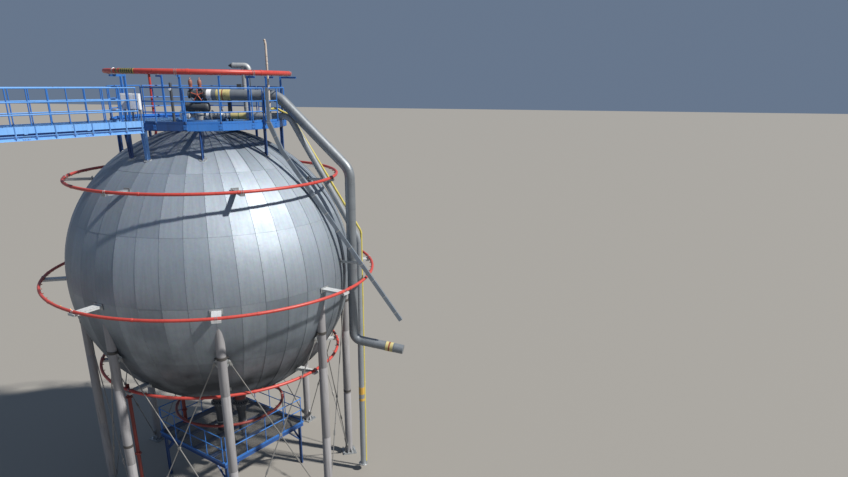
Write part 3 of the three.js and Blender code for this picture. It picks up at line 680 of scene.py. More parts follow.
def flange_pair(bm, base, aim, radius, thickness, bolts, finish=0, bolt_finish=0):
    aim = aim.normalized()
    for start in (0, thickness * 0.52):
        disc(bm, base + aim * start, aim, thickness * 0.48, radius, 36, finish)
    circle = radius * 0.84
    size = radius * 0.075
    for face, height in ((aim, thickness + size * 0.5), (-aim, size * 0.5)):
        heads(bm, bolt_circle(base, face, circle, bolts, height), size, size * 0.9, size, 6, bolt_finish)


down = -straight_up
nozzle_y = -0.25
for name, x in (("left", -0.42), ("right", 0.52)):
    nozzle = bmesh.new()
    turned(nozzle, at(x, nozzle_y, -5.2), down, (
        (0, 0.24), (0.78, 0.24), (0.83, 0.235), (0.86, 0.235), (1.0, 0.235), (1.28, 0.2), (1.3, 0.168),
        (2.249, 0.168),
    ), 40)
    turned(nozzle, at(x, nozzle_y, -5.36), down, ((0, 0.3), (0.05, 0.3), (0.09, 0.25)), 40, 1)
    for band in (-5.48, -5.74):
        disc(nozzle, at(x, nozzle_y, band), down, 0.15, 0.243, 40, 2)
    flange_pair(nozzle, at(x, nozzle_y, -6.05), down, 0.33, 0.09, 16, 0, 1)
    disc(nozzle, at(x, nozzle_y, -7.0), down, 0.05, 0.19, 32, 1)
    finished(nozzle, f"bottom_neck_{name}", [dark_casting, zinc_steel, painted_shade_red_enamel],
             [f"bottom_nozzle_{name}"])

# Spray rings: welded red-enamelled water pipe bent to a ring, with small nozzles aimed at the sphere,
# and held in U-bolts on brackets that come out through the cladding.
red_enamel = coat("red_enamel", "#b2342f", "#cd574d", "#6d2f26", 0.40, 0.55, 0.3)
brass = coat("brass_nozzle", "#9c7b3a", "#b3985a", "#4f4326", 0.35, 0.0, 0.3, 0.8)
arm_enamel = coat("off_white_enamel", "#afb4b7", "#cbcfd1", "#75685b", 0.5, 0.4, 0.4)
nozzle_pitch = 0.62
ring_rows = (
    ("spray_ring_2", 4.965, 3.675, 0.055, 7, -8.3, 0.15, 2.0, zinc_steel),
    ("spray_ring_3", 6.321, -0.070, 0.056, 8, first_seam, 0.32, -0.1, arm_enamel),
    ("spray_ring_4", 4.770, -3.600, 0.057, 8, first_seam, 0.26, -2.2, arm_enamel),
)


def u_bolt(bm, azimuth, radius, level, pipe, finish):
    centre, outward, tangent = outward_at(azimuth, radius, level)
    reach = pipe + 0.007
    foot = up(pipe + 0.02)
    for shift in (-0.03, 0.03):
        bow = [centre + tangent * shift + outward * (math.cos(turn) * reach) + up(math.sin(turn) * reach)
               for turn in (math.pi * k / 8 for k in range(9))]
        tubes(bm, [[bow[0] - foot, *bow, bow[-1] - foot]], 0.007, 8, finish)


def spray_pipe(bm, radius, level, pipe, nozzle_level, joints=10):
    tubes(bm, [[polar(k * 2.25, radius, level) for k in range(160)]], pipe, 20, 0, True)
    for k in range(joints):
        spot, outward, aim = outward_at(11 + k * 360 / joints, radius, level)
        disc(bm, spot - aim * 0.05, aim, 0.1, pipe + 0.008, 24, 0, 0.006)
    count = round(2 * math.pi * radius / nozzle_pitch)
    spots = []
    for k in range(count):
        spot = polar(3 + k * 360 / count, radius, level)
        aim = (at(0, 0, nozzle_level) - spot).normalized()
        spots.append((spot + aim * (pipe + 0.006), aim))
    heads(bm, spots, 0.017, 0.013, 0.03, 10)
    heads(bm, [(point + aim * 0.024, aim) for point, aim in spots], 0.012, 0.016, 0.022, 8, 2)


for name, radius, level, pipe, arms, first_arm, arm_width, nozzle_level, arm_finish in ring_rows:
    ring = bmesh.new()
    spray_pipe(ring, radius, level, pipe, nozzle_level)
    top = level - pipe * 0.8
    inner = math.sqrt(sphere_radius ** 2 - (top - 0.045) ** 2) - 0.08
    for k in range(arms):
        azimuth = first_arm + k * 360 / arms
        start, outward, across = outward_at(azimuth, inner, top - 0.006)
        end = polar(azimuth, radius + 0.09, top - 0.006)
        plate(ring, start, end, arm_width, 0.012, 1)
        for side in (-1, 1):
            web = across * (side * (arm_width / 2 - 0.006)) + up(-0.039)
            plate(ring, start + web, end + web, 0.012, 0.078, 1)
        nose = end + up(-0.039)
        plate(ring, nose - outward * 0.012, nose, arm_width, 0.078, 1)
        flash = polar(azimuth, inner + 0.09, top - 0.045)
        plate(ring, flash, flash + outward * 0.012, arm_width + 0.12, 0.2, 3)
        u_bolt(ring, azimuth, radius, level, pipe, 3)
    finished(ring, name + "_pipe", [red_enamel, arm_finish, brass, zinc_steel], [name])

low_ring = bmesh.new()
low_radius = 2.235
low_level = -6.18
spray_pipe(low_ring, low_radius, low_level, 0.057, -5.2, 6)
feed = polar(172, low_radius, service_level)
tubes(low_ring, [[feed, polar(172, low_radius, low_level)]], 0.078, 24, 1)
for height in (0.02, 0.62):
    disc(low_ring, feed + up(height), straight_up, 0.03, 0.13, 24, 1)
for azimuth in (-73.2, 16.8, 106.8):
    foot = polar(azimuth, low_radius, service_level)
    plate(low_ring, foot, polar(azimuth, low_radius, -6.24), 0.06, 0.06, 3)
    disc(low_ring, foot + up(0.001), straight_up, 0.014, 0.09, 16, 3)
    u_bolt(low_ring, azimuth, low_radius, low_level, 0.057, 3)
# The low ring and its feed carry the darkened red: painted shade
finished(low_ring, "spray_ring_5_pipe", [painted_shade_red_enamel, painted_shade_red_enamel, brass, zinc_steel],
         ["spray_ring_5"])

# Spray risers: red water mains, one from the ground up to the ring below the equator beside a leg, one
# from the equator ring to the top, both in lengths joined with flanges.


def rounded(points, bend, steps=8):
    route = [points[0]]
    for before, corner, after in zip(points, points[1:], points[2:]):
        back = (before - corner).normalized()
        ahead = (after - corner).normalized()
        start = corner + back * bend
        end = corner + ahead * bend
        weight = math.sin(back.angle(ahead) / 2)
        for k in range(steps + 1):
            t = k / steps
            shares = ((1 - t) ** 2, 2 * t * (1 - t) * weight, t * t)
            route.append((start * shares[0] + corner * shares[1] + end * shares[2]) / sum(shares))
    route.append(points[-1])
    return route


def travel(route):
    return sum((b - a).length for a, b in zip(route, route[1:]))


def spot_on(route, distance):
    for a, b in zip(route, route[1:]):
        span = (b - a).length
        if distance <= span:
            return a.lerp(b, distance / span), (b - a).normalized()
        distance -= span
    return route[-1].copy(), (route[-1] - route[-2]).normalized()


def stretch(route, start, end):
    points = [spot_on(route, start)[0]]
    passed = 0.0
    for a, b in zip(route, route[1:]):
        passed += (b - a).length
        if start + 1e-4 < passed < end - 1e-4:
            points.append(b)
    return points + [spot_on(route, end)[0]]


def riser(route, pipe, flange_distances, flange_radius, end_disc=False):
    bm = bmesh.new()
    tubes(bm, [route], pipe, 24)
    if end_disc:
        disc(bm, route[-1] + up(-0.01), straight_up, 0.028, pipe + 0.004)
    for distance in flange_distances:
        flange_pair(bm, *spot_on(route, distance), flange_radius, 0.045, 8, 0, 1)
    return bm


upper_azimuth = 143
upper_route = rounded([polar(upper_azimuth, radius, level) for radius, level in (
    (6.415, -0.07), (6.415, 0.7), (5.05, 3.375), (5.05, 4.175), (3.195, 4.9), (3.195, 7.33))], 0.25)
lower_route = [polar(-121.2, 4.66, leg_bottom), polar(-121.2, 4.66, -3.49)]
finished(riser(upper_route, 0.05, (0.35, 4.3, 7.2), 0.10),
         "upper_riser", [red_enamel, zinc_steel], ["upper_spray_riser"])
# The lower riser carries the darkened red: painted shade
finished(riser(lower_route, 0.068, (0.5, 3.2, 5.6), 0.125, True),
         "lower_riser", [painted_shade_red_enamel, zinc_steel], ["lower_spray_riser"])

# Top platform frame: seventeen straight lengths of channel bolted corner to corner round the edge, with
# a kick plate on top, radial joists, a ring round the open well, and posts standing on the cladding; the
# gate length and the other posts have an older, darker coat, the same coat on the two lengths next to the
# gate is painted shade, and the pale coat of the near gate post is painted light.
pale_blue_enamel = coat("pale_blue_enamel", "#5a9ae2", "#96c3f2", "#4e5a66", 0.42, 0.4, 0.25)
deck_level = 5.62
frame_bottom = 5.46
edge_radius = 3.142
gate_length = 16
dark_coat_lengths = (0, 1, 16)
gate_circle = 3.0
painted_light_post = -110.2
edge_azimuths = (-107.6, -99.1, -80.5, -59.6, -37.6, -15.6, 6.2, 28.0, 49.8, 71.6, 93.4, 115.2, 137.0, 158.8,
                 184.0, 208.4, 232.8)
edge_lengths = list(zip(edge_azimuths, edge_azimuths[1:] + edge_azimuths[:1]))
platform_posts = [(azimuth, 2.93) for azimuth in (-73.2, -25, 16.8, 61.8, 106.8, 151.8, 196.8)]
platform_posts += [(-125.7, gate_circle), (painted_light_post, gate_circle)]

platform = bmesh.new()
for k, (azimuth, following) in enumerate(edge_lengths):
    start = polar(azimuth, edge_radius, 0)
    end = polar(following, edge_radius, 0)
    run = (end - start).normalized()
    outward = run.cross(straight_up)
    start += run * 0.006
    end -= run * 0.006
    web_top = 5.60 if k == gate_length else 5.70
    # The dark coat on the two lengths next to the gate is painted shade; the gate length has it as its own
    # coat
    web_finish = 2 if k in dark_coat_lengths else 0
    channel = [
        (0.012, (web_top + frame_bottom) / 2, 0.012, web_top - frame_bottom, web_finish),
        (0.038, frame_bottom + 0.006, 0.064, 0.012, 0), (0.038, web_top - 0.006, 0.064, 0.012, 0),
    ]
    if k != gate_length:
        channel.append((0.03, 5.732, 0.006, 0.076, web_finish))
    for inset, level, width, depth, finish in channel:
        shift = up(level) - outward * inset
        plate(platform, start + shift, end + shift, width, depth, finish)
    for j in range(3):
        rib = start.lerp(end, (j + 0.5) / 3) - outward * 0.04
        raised(platform, rib, frame_bottom + 0.01, web_top - 0.01, 0.05, 0.008)
    splice = end - outward * 0.003
    plate(platform, splice - run * 0.11 + up(5.58), splice + up(5.58), 0.008, 0.16)
    heads(platform, [(splice - run * a + up(level) + outward * 0.008, outward)
                     for a in (0.03, 0.08) for level in (5.53, 5.63)], 0.014, 0.012, 0.014)
for azimuth, circle in platform_posts:
    top, outward, across = outward_at(azimuth, circle, frame_bottom)
    foot_level = math.sqrt(sphere_radius ** 2 - circle ** 2)
    foot = polar(azimuth, circle, foot_level - 0.12)
    gate_post = circle == gate_circle
    # The near gate post's pale coat is painted light; the other posts keep the dark coat
    finish = 3 if azimuth == painted_light_post else 2
    flange_aim = across if gate_post else outward
    flange_size = (0.11, 0.010) if gate_post else (0.010, 0.11)
    web_size = (0.008, 0.10) if gate_post else (0.10, 0.008)
    for side in (-0.05, 0.05):
        plate(platform, foot + flange_aim * side, top + flange_aim * side, *flange_size, finish)
    plate(platform, foot, top, *web_size, finish)
    centred(platform, top + up(0.006), outward * 0.08, 0.16, 0.012)
    aim = (polar(azimuth, circle, foot_level) - tank_axis).normalized()
    pad = tank_axis + aim * sphere_radius
    disc(platform, pad - aim * 0.02, aim, 0.034, 0.15, 28, 1)
    heads(platform, bolt_circle(pad, aim, 0.12, 6, 0.02), 0.012, 0.011, 0.014, 6, 1)
    for level, width, depth in ((5.515, 0.010, 0.10), (5.465, 0.09, 0.010), (5.563, 0.09, 0.010)):
        plate(platform, polar(azimuth, 0.93, level), polar(azimuth, 3.08, level), width, depth)
    if gate_post:
        for side in (-0.05, 0.05):
            gusset(platform, top + across * side + outward * 0.05, outward * 0.09, up(-0.95), 0.010, finish)
lathed(platform, at(0, 0, frame_bottom), straight_up, (
    (0, 0.9), (0, 0.96), (0.11, 0.96), (0.11, 0.9), (0, 0.9)), 48)
finished(platform, "platform_beams", [blue_enamel, zinc_steel, navy_enamel, pale_blue_enamel],
         ["platform_frame"])

# Platform floor: expanded steel mesh in blue enamel round the open well, in seventeen sheets edged with
# flat bar and screwed down to the joists; daylight falls through it on the cladding.
trodden_enamel = coat("trodden_blue_enamel", "#2c5d9b", "#6d9acb", "#3c3a38", 0.45, 1.0, 0.3)
strand_pitch = 0.036
mesh_reach = 3.03
well_reach = 0.91
deck = bmesh.new()
for slant in (-20, 20):
    strand = ray(slant)
    count = int(mesh_reach / strand_pitch)
    for k in range(-count, count + 1):
        offset = strand.cross(straight_up) * (k * strand_pitch)
        middle = at(0, 0, deck_level - 0.008) + offset
        far = math.sqrt(mesh_reach ** 2 - offset.length_squared)
        near = math.sqrt(max(0, well_reach ** 2 - offset.length_squared))
        for first, last in ((-far, -near), (near, far)):
            plate(deck, middle + strand * first, middle + strand * last, 0.010, 0.008)
for azimuth, following in edge_lengths:
    span = (following - azimuth) % 360
    low, high = [
        [deck.verts.new(polar(azimuth + share * span, reach, level))
         for share, reach in ((0.005, 3.02), (0.005, 3.115), (0.995, 3.115), (0.995, 3.02))]
        for level in (deck_level - 0.012, deck_level)
    ]
    deck.faces.new(high)
    deck.faces.new(low[::-1])
    for j in range(4):
        deck.faces.new((low[j], low[(j + 1) % 4], high[(j + 1) % 4], high[j]))
    bar_level = deck_level - 0.004
    plate(deck, polar(azimuth, 0.915, bar_level), polar(azimuth, 3.04, bar_level), 0.06, 0.006)
    screws = [(polar(azimuth, reach, deck_level + 0.002), straight_up) for reach in (1.1, 1.7, 2.3, 2.95)]
    heads(deck, screws, 0.014, 0.010, 0.008, 8, 1)
lathed(deck, at(0, 0, deck_level), straight_up, (
    (-0.05, 0.905), (-0.05, 0.914), (0.08, 0.914), (0.08, 0.905), (-0.05, 0.905)), 48)
finished(deck, "platform_floor", [trodden_enamel, zinc_steel], ["platform_deck"])

# Platform railings: three round rails on round posts, each post bolted to the kick plate; they stop
# either side of the gate and open for the two big pipes.
railing_ends = (-107.6, -28.2, 61.8, 151.8, 232.8)
railing_radius = 3.11
pipe_gap = (-13.0, 3.0)
for i in range(4):
    railing = bmesh.new()
    start = railing_ends[i] + (0.6 if i else 0)
    end = railing_ends[i + 1] - (0.6 if i < 3 else 0)
    spans = round((end - start) / 22.5)
    even = [k / spans for k in range(spans + 1)]
    shares = ((0, 0.107, 0.341, 0.605, 0.882, 1), (0, 0.15, 0.36, 0.68, 1), even, even)[i]
    stops = [start + 0.4 + share * (end - start - 0.8) for share in shares]
    low_runs = [stops]
    standing = stops
    if i == 1:
        low_runs = [[stops[0], pipe_gap[0]], [pipe_gap[1], *stops[2:]]]
        standing = [stops[0], *pipe_gap, *stops[2:]]
    rails = [[polar(azimuth, railing_radius, level) for azimuth in run]
             for level, runs in ((6.06, low_runs), (6.40, low_runs), (6.83, [stops])) for run in runs]
    tubes(railing, rails, 0.021, 14)
    posts = [outward_at(azimuth, railing_radius, 0)[:2] for azimuth in standing]
    tubes(railing, [[post + up(deck_level), post + up(6.84)] for post, outward in posts], 0.021, 14)
    for post, outward in posts:
        raised(railing, post + outward * 0.02, 5.71, 5.77, 0.07, 0.008)
    heads(railing, [(post + outward * 0.03 + up(level), outward) for post, outward in posts
                    for level in (5.725, 5.755)], 0.011, 0.010, 0.014, 6, 1)
    finished(railing, f"platform_rail_{i + 1}", [blue_enamel, zinc_steel], [f"platform_railing_{i + 1}"])

# Top spray ring: the widest pipe of the five, on eight blue box posts just inside the railing, with a
# black and yellow warning wrap over the gate.
yellow_enamel = coat("yellow_enamel", "#bfb045", "#d4ca78", "#6c5a2c", 0.45, 0.4, 0.35)
black_enamel = coat("black_enamel", "#1b1b1c", "#3a3a3a", "#4a443c", 0.45, 0.2, 0.2)
top_ring = bmesh.new()
top_radius = 3.20
top_level = 7.33
top_pipe = 0.08
post_circle = 2.88
feed_post = 2
ring_shift = (0.14, 0, 0)
spray_pipe(top_ring, top_radius, top_level, top_pipe, 4.6, 8)
for k in range(8):
    azimuth = -85.5 + k * 45
    foot, outward, across = outward_at(azimuth, post_circle, deck_level)
    reach = 3.46 if k == feed_post else 3.28
    plate(top_ring, foot, polar(azimuth, post_circle, 7.21), 0.066, 0.066, 1)
    raised(top_ring, foot, 0.001, 0.014, 0.18, 0.18, 1)
    for level, shift, width, depth in ((7.215, 0, 0.07, 0.012), (7.185, 0.032, 0.008, 0.06)):
        start, end = [polar(azimuth, radius, level) + across * shift for radius in (2.84, reach)]
        plate(top_ring, start, end, width, depth, 1)
    u_bolt(top_ring, azimuth, top_radius, top_level, top_pipe, 3)
    heads(top_ring, [(foot + outward * a + across * b + up(0.022), straight_up)
                     for a in (-0.07, 0.07) for b in (-0.07, 0.07)], 0.012, 0.011, 0.016, 6, 3)
for k in range(9):
    stripe = -127.0 + k * 1.75
    for first, last, finish in ((0, 1.2, 5), (1.2, 1.75, 4)):
        tubes(top_ring, [[polar(stripe + share, top_radius, top_level)
                          for share in (first, (first + last) / 2, last)]], 0.083, 24, finish)
bmesh.ops.translate(top_ring, vec=ring_shift, verts=top_ring.verts)
finished(top_ring, "spray_ring_1_pipe", [
    red_enamel, blue_enamel, brass, zinc_steel, yellow_enamel, black_enamel,
], ["spray_ring_1"])

# Access bridge: on each side a channel beam with a deep kick plate bolted outside it and the rail posts
# clamped to both, and between them a floor of open grating, all in the plant's pale blue enamel.
rail_enamel = coat("mid_blue_enamel", "#4486d0", "#6fa6e4", "#465462", 0.42, 0.4, 0.25)
bridge_azimuth = -122
bridge_start = 3.08
bridge_shift = 0.25
bridge_length = 5.4
rail_offset = 0.5
post_pitch = 0.58
post_count = 10
bridge_bearers = 120


def on_bridge(along, across, level):
    run = ray(bridge_azimuth)
    side = straight_up.cross(run)
    return at(0, 0, level) + run * (bridge_start + along) + side * (bridge_shift + across)


def bridge_bar(bm, start, end, width, depth, finish=0):
    plate(bm, on_bridge(*start), on_bridge(*end), width, depth, finish)


for name, side, start in (("near", 1, -0.02), ("far", -1, 0.065)):
    girder = bmesh.new()
    # The inner plate behind the gap under the kick plate is in the dark blue coat: painted shade that
    # deepens the gap
    for level, offset, width, depth, finish in (
        (5.4525, 0.515, 0.010, 0.125, 0), (5.515, 0.525, 0.09, 0.010, 0), (5.392, 0.515, 0.11, 0.012, 0),
        (5.6805, 0.534, 0.006, 0.199, 0), (5.776, 0.526, 0.022, 0.008, 0), (5.59, 0.476, 0.010, 0.14, 2),
    ):
        bridge_bar(girder, (start, side * offset, level), (bridge_length, side * offset, level),
                   width, depth, finish)
    out = on_bridge(0, side, 0) - on_bridge(0, 0, 0)
    bolts = []
    for k in range(post_count):
        along = 0.035 + k * post_pitch
        for offset, low, high, width, depth in (
            (0.550, 5.47, 5.779, 0.034, 0.026), (0.552, 5.47, 5.485, 0.10, 0.036),
            (0.495, 5.40, 5.53, 0.010, 0.03),
        ):
            bridge_bar(girder, (along, side * offset, low), (along, side * offset, high), width, depth)
        bolts += [(on_bridge(along + shift, side * 0.556, 5.478), out) for shift in (-0.035, 0.035)]
    for joint in (1.9, 3.8):
        for reach, offset, level, width, depth in (
            (0.12, 0.524, 5.46, 0.008, 0.10), (0.05, 0.539, 5.66, 0.005, 0.20),
        ):
            bridge_bar(girder, (joint - reach, side * offset, level), (joint + reach, side * offset, level),
                       width, depth)
        bolts += [(on_bridge(joint + a, side * 0.530, level), out)
                  for a in (-0.09, -0.04, 0.04, 0.09) for level in (5.43, 5.49)]
    heads(girder, bolts, 0.011, 0.010, 0.010, 6, 1)
    finished(girder, f"bridge_beam_{name}", [pale_blue_enamel, zinc_steel, navy_enamel],
             [f"bridge_girder_{name}"])
    railing = bmesh.new()
    tubes(railing, [[on_bridge(along, side * rail_offset, level) for along in (0.08, bridge_length)]
                    for level in (6.09, 6.43, 6.81)], 0.021, 14)
    posts = [[on_bridge(0.10 + k * post_pitch, side * rail_offset, level) for level in (5.781, 6.82)]
             for k in range(post_count)]
    tubes(railing, posts, 0.019, 12, 1)
    for post in posts:
        disc(railing, post[0], straight_up, 0.012, 0.030, 12, 1)
    finished(railing, f"bridge_rail_{name}", [rail_enamel, blue_enamel], [f"bridge_railing_{name}"])

bridge_floor = bmesh.new()
for k in range(bridge_bearers):
    along = 0.07 + k * (bridge_length - 0.09) / (bridge_bearers - 1)
    bridge_bar(bridge_floor, (along, -0.465, 5.602), (along, 0.465, 5.602), 0.006, 0.034)
for k in range(13):
    across = -0.455 + k * 0.91 / 12
    bridge_bar(bridge_floor, (0.06, across, 5.615), (bridge_length - 0.01, across, 5.615), 0.007, 0.007)
for k in range(5):
    along = 0.3 + k * 1.2
    bridge_bar(bridge_floor, (along, -0.467, 5.5725), (along, 0.467, 5.5725), 0.05, 0.024, 1)
finished(bridge_floor, "bridge_grating", [zinc_steel, pale_blue_enamel], ["bridge_deck"])

# Nozzle stack: a galvanised neck through the cladding with a side branch, flanges wrapped in white
# tape, and on it the dark relief header, the changeover valve and two spring relief valves.
tape_wrap = coat("white_flange_tape", "#e4e7e8", "#f8f9f9", "#857a6b", 0.7, 0.2, 0.35)
neck_finish = coat("galvanised_neck", "#a3a8ab", "#c3c6c8", "#6f675e", 0.45, 0.2, 0.3, 0.35)
toward_front = Vector((0, -1, 0))
stack_y = -0.3
branch_level = 5.835
header_level = 6.125
valve_level = 6.56
stem_x = 0.09
relief_places = (("left", -0.24), ("right", 0.095))


def at_stack(x, y, level):
    return at(0.06 + x, stack_y + y, level)


neck = bmesh.new()
lathed(neck, at_stack(0, 0, 5.1), straight_up, (
    (0, 0), (0, 0.165), (0.64, 0.165), (0.72, 0.172), (0.76, 0.172), (0.765, 0.165), (0.77, 0)), 36)
turned(neck, at_stack(0, 0, 5.36), straight_up, ((0, 0.26), (0.04, 0.25), (0.07, 0.175)), 36)
flange_pair(neck, at_stack(0, 0, 5.87), straight_up, 0.22, 0.05, 12, 0, 2)
tubes(neck, [[at_stack(0, 0, branch_level), at_stack(0.44, 0, branch_level)]], 0.075, 24)
turned(neck, at_stack(0.24, 0, branch_level), along_x, (
    (0, 0.085), (0.02, 0.125), (0.10, 0.13), (0.12, 0.09)), 24, 1)
tubes(neck, [[at_stack(0, 0, 5.82), at_stack(-0.52, 0, 5.82)]], 0.07, 24)
turned(neck, at_stack(-0.73, -0.02, 5.85), along_x, (
    (0, 0.08), (0.03, 0.15), (0.12, 0.175), (0.20, 0.13), (0.28, 0.17), (0.37, 0.14), (0.41, 0.08),
), 28, 1)
finished(neck, "nozzle_neck", [neck_finish, tape_wrap, zinc_steel], ["top_nozzle"])

header = bmesh.new()
turned(header, at_stack(-0.53, 0, header_level), along_x, (
    (0.0, 0.11), (0.02, 0.15), (0.06, 0.177), (0.11, 0.182), (0.81, 0.182), (0.86, 0.177), (0.90, 0.15),
    (0.92, 0.11),
), 40)
for x in (-0.43, 0.28):
    disc(header, at_stack(x, 0, header_level), along_x, 0.012, 0.185, 40)
turned(header, at_stack(0, 0, 6.04), straight_up, ((0, 0.13), (0.3, 0.12), (0.306, 0.12)), 32)
flange_pair(header, at_stack(0, 0, 5.922), straight_up, 0.22, 0.05, 12, 0, 1)
flange_pair(header, at_stack(0, 0, 6.30), straight_up, 0.165, 0.048, 8, 0, 1)
finished(header, "relief_header_body", [dark_casting, zinc_steel], ["relief_header"])

orange_enamel = coat("orange_red_enamel", "#c9492d", "#dd7a58", "#5c2a1d", 0.45, 0.6, 0.35)
valve = bmesh.new()
lathed(valve, at_stack(0, 0, 6.352), straight_up, (
    (0, 0), (0, 0.165), (0.048, 0.165), (0.055, 0.11), (0.12, 0.12), (0.16, 0.0)), 32)
turned(valve, at_stack(-0.34, 0, valve_level), along_x, (
    (0, 0.14), (0.03, 0.14), (0.04, 0.105), (0.12, 0.11), (0.24, 0.150), (0.40, 0.150), (0.50, 0.115),
    (0.545, 0.115),
), 36)
flange_pair(valve, at_stack(0.21, 0, valve_level), along_x, 0.215, 0.05, 12, 0, 1)
turned(valve, at_stack(stem_x, -0.06, valve_level), toward_front, (
    (0, 0.12), (0.07, 0.12), (0.08, 0.10), (0.11, 0.10), (0.12, 0.045), (0.20, 0.04), (0.205, 0.018),
    (0.33, 0.018),
))
bonnet_bolts = bolt_circle(at_stack(stem_x, -0.17, valve_level), toward_front, 0.082, 8, 0.006)
heads(valve, bonnet_bolts, 0.010, 0.009, 0.012, 6, 1)
for name, x in relief_places:
    turned(valve, at_stack(x, 0, 6.60), straight_up, (
        (0, 0.068), (0.13, 0.068), (0.149, 0.068)))
wheel = at_stack(stem_x, -0.345, valve_level)
tubes(valve, [circle_points(wheel, along_x, straight_up, 0.258, 40)], 0.017, 14, 2, True)
for inner, outer in zip(circle_points(wheel, along_x, straight_up, 0.03, 5, 0.25),
                        circle_points(wheel, along_x, straight_up, 0.24, 5, 0.25)):
    tubes(valve, [[inner, outer]], 0.014, 10, 3)
disc(valve, wheel - toward_front * 0.02, toward_front, 0.045, 0.036, 20, 3)
heads(valve, [(wheel + toward_front * 0.03, toward_front)], 0.018, 0.016, 0.02, 6, 1)
finished(valve, "changeover_valve_body", [dark_casting, zinc_steel, black_enamel, orange_enamel],
         ["changeover_valve"])

primer = coat("red_brown_primer", "#8c4f41", "#b07f70", "#4c3630", 0.6, 0.5, 0.35)
for name, x in relief_places:
    relief = bmesh.new()
    base = at_stack(x, 0, 6.7505)
    turned(relief, base, straight_up, (
        (0, 0.108), (0.028, 0.11), (0.032, 0.10), (0.034, 0.11), (0.06, 0.108), (0.065, 0.062),
        (0.12, 0.058), (0.15, 0.072), (0.29, 0.070), (0.32, 0.050), (0.33, 0.030), (0.385, 0.028),
        (0.40, 0.018),
    ), 28)
    heads(relief, bolt_circle(base, straight_up, 0.09, 8, 0.066), 0.010, 0.009, 0.012, 6, 1)
    plate(relief, base + up(0.36), base + up(0.36) + along_x * 0.11, 0.018, 0.012, 1)
    disc(relief, base + up(0.345) + toward_front * 0.02, toward_front, 0.03, 0.02, 12, 1)
    finished(relief, f"relief_spring_valve_{name}", [primer, zinc_steel], [f"relief_valve_{name}"])

# Main relief pipe: insulated, in galvanised sheet jackets a metre long held by straps, with segmented
# elbows; it runs from the valve over the platform and down the tank's side to the pipe rack.
jacket = coat("galvanised_pipe_jacket", "#70777d", "#979ea5", "#555250", 0.44, 0.2, 0.25, 0.4, 2.2)
cream_enamel = coat("cream_band_enamel", "#b5a86a", "#d6cb92", "#716650", 0.5, 0.3, 0.35)
brown_enamel = coat("brown_ring_enamel", "#7f2f25", "#9a5547", "#4c2a22", 0.5, 0.2, 0.2)


def banded(bm, route, rows):
    for start, end, radius, sides, finish in rows:
        tubes(bm, [stretch(route, start, end)], radius, sides, finish)


def jacketed(bm, route, radius, start, end, sheet):
    count = max(1, round((end - start) / sheet))
    for k in range(count):
        first = start + (end - start) * k / count
        last = start + (end - start) * (k + 1) / count
        banded(bm, route, [(first, last + 0.012, radius - (0.0 if k % 2 else 0.0035), 36, 0)])
        for place in (first + 0.02, (first + last) / 2):
            point, aim = spot_on(route, place)
            banded(bm, route, [(place, place + 0.022, radius + 0.0025, 36, 0)])
            side = aim.orthogonal().normalized()
            disc(bm, point + side * (radius - 0.005) + aim * 0.011, side, 0.014, 0.016, 10, 0, 0.002)


relief = bmesh.new()
relief_radius = 0.1915
relief_route = rounded([
    at(0.3205, stack_y, valve_level), at(2.99, stack_y, valve_level), at(5.64, -1.0, 4.0),
    at(5.64, -1.0, -2.77), at(7.648, -1.35, -3.06),
], 0.3, 6)
relief_length = travel(relief_route)
disc(relief, relief_route[0], along_x, 0.05, 0.214, 40, 4)
heads(relief, bolt_circle(relief_route[0], along_x, 0.18, 12, 0.056), 0.016, 0.014, 0.016, 6, 1)
banded(relief, relief_route, ((0.05, 0.10, 0.15, 32, 5), (0.09, 0.26, 0.190, 36, 5)))
jacketed(relief, relief_route, relief_radius, 0.26, relief_length - 0.75, 0.95)
jacketed(relief, relief_route, relief_radius, relief_length - 0.75, relief_length, 0.8)
banded(relief, relief_route, (
    (0.44, 0.955, 0.1945, 40, 2), (0.65, 0.69, 0.195, 40, 3),
    (relief_length - 0.72, relief_length - 0.42, 0.1945, 40, 2),
    (relief_length - 0.60, relief_length - 0.54, 0.195, 40, 3),
))
for x in (1.19, 2.45):
    shoe = at(x, stack_y, deck_level)
    for shift in (-0.05, 0.05):
        plate(relief, shoe + along_x * shift + up(0.001), at(x + shift * 0.5, stack_y, 6.37), 0.07, 0.008, 4)
    centred(relief, shoe + up(0.006), along_x * 0.10, 0.16, 0.012, 4)
    tubes(relief, [[at(x, stack_y + math.sin(turn) * 0.197, valve_level + math.cos(turn) * 0.197)
                    for turn in (math.pi * (0.75 + 0.05 * k) for k in range(11))]], 0.010, 8, 4)
finished(relief, "relief_pipe_jacket", [
    jacket, zinc_steel, cream_enamel, brown_enamel, dark_casting, tape_wrap,
], ["relief_pipe"], crease=30)

# Second pipe: smaller, jacketed the same way in a lighter sheet that is painted light, with a hand valve
# between flanges on the platform and a green-ringed cream band; it drops beside the main pipe to a flange
# just above the ground.
# A lighter copy of the main pipe's jacket: painted light where the main pipe shades the run
painted_light_drain_jacket = coat("galvanised_branch_jacket_painted_light", "#868e95", "#b0b6bc", "#555250", 0.42, 0.2, 0.22, 0.4, 2.2)
ochre_enamel = coat("ochre_band_enamel", "#c79a3a", "#dcb868", "#6c5030", 0.5, 0.3, 0.3)
green_enamel = coat("green_ring_enamel", "#4c6a3b", "#74905f", "#3d4030", 0.5, 0.2, 0.2)
pipe_foot = -9.3
drain = bmesh.new()
drain_route = rounded([
    at(0.5005, stack_y, branch_level), at(3.38, stack_y, branch_level), at(5.785, 0, 1.19),
    at(5.785, 0, pipe_foot),
], 0.2, 5)
drain_length = travel(drain_route)
ochre_start = drain_length - 3.88
disc(drain, drain_route[0], along_x, 0.038, 0.188, 32, 4)
heads(drain, bolt_circle(drain_route[0], along_x, 0.158, 8, 0.046), 0.014, 0.012, 0.016, 6, 1)
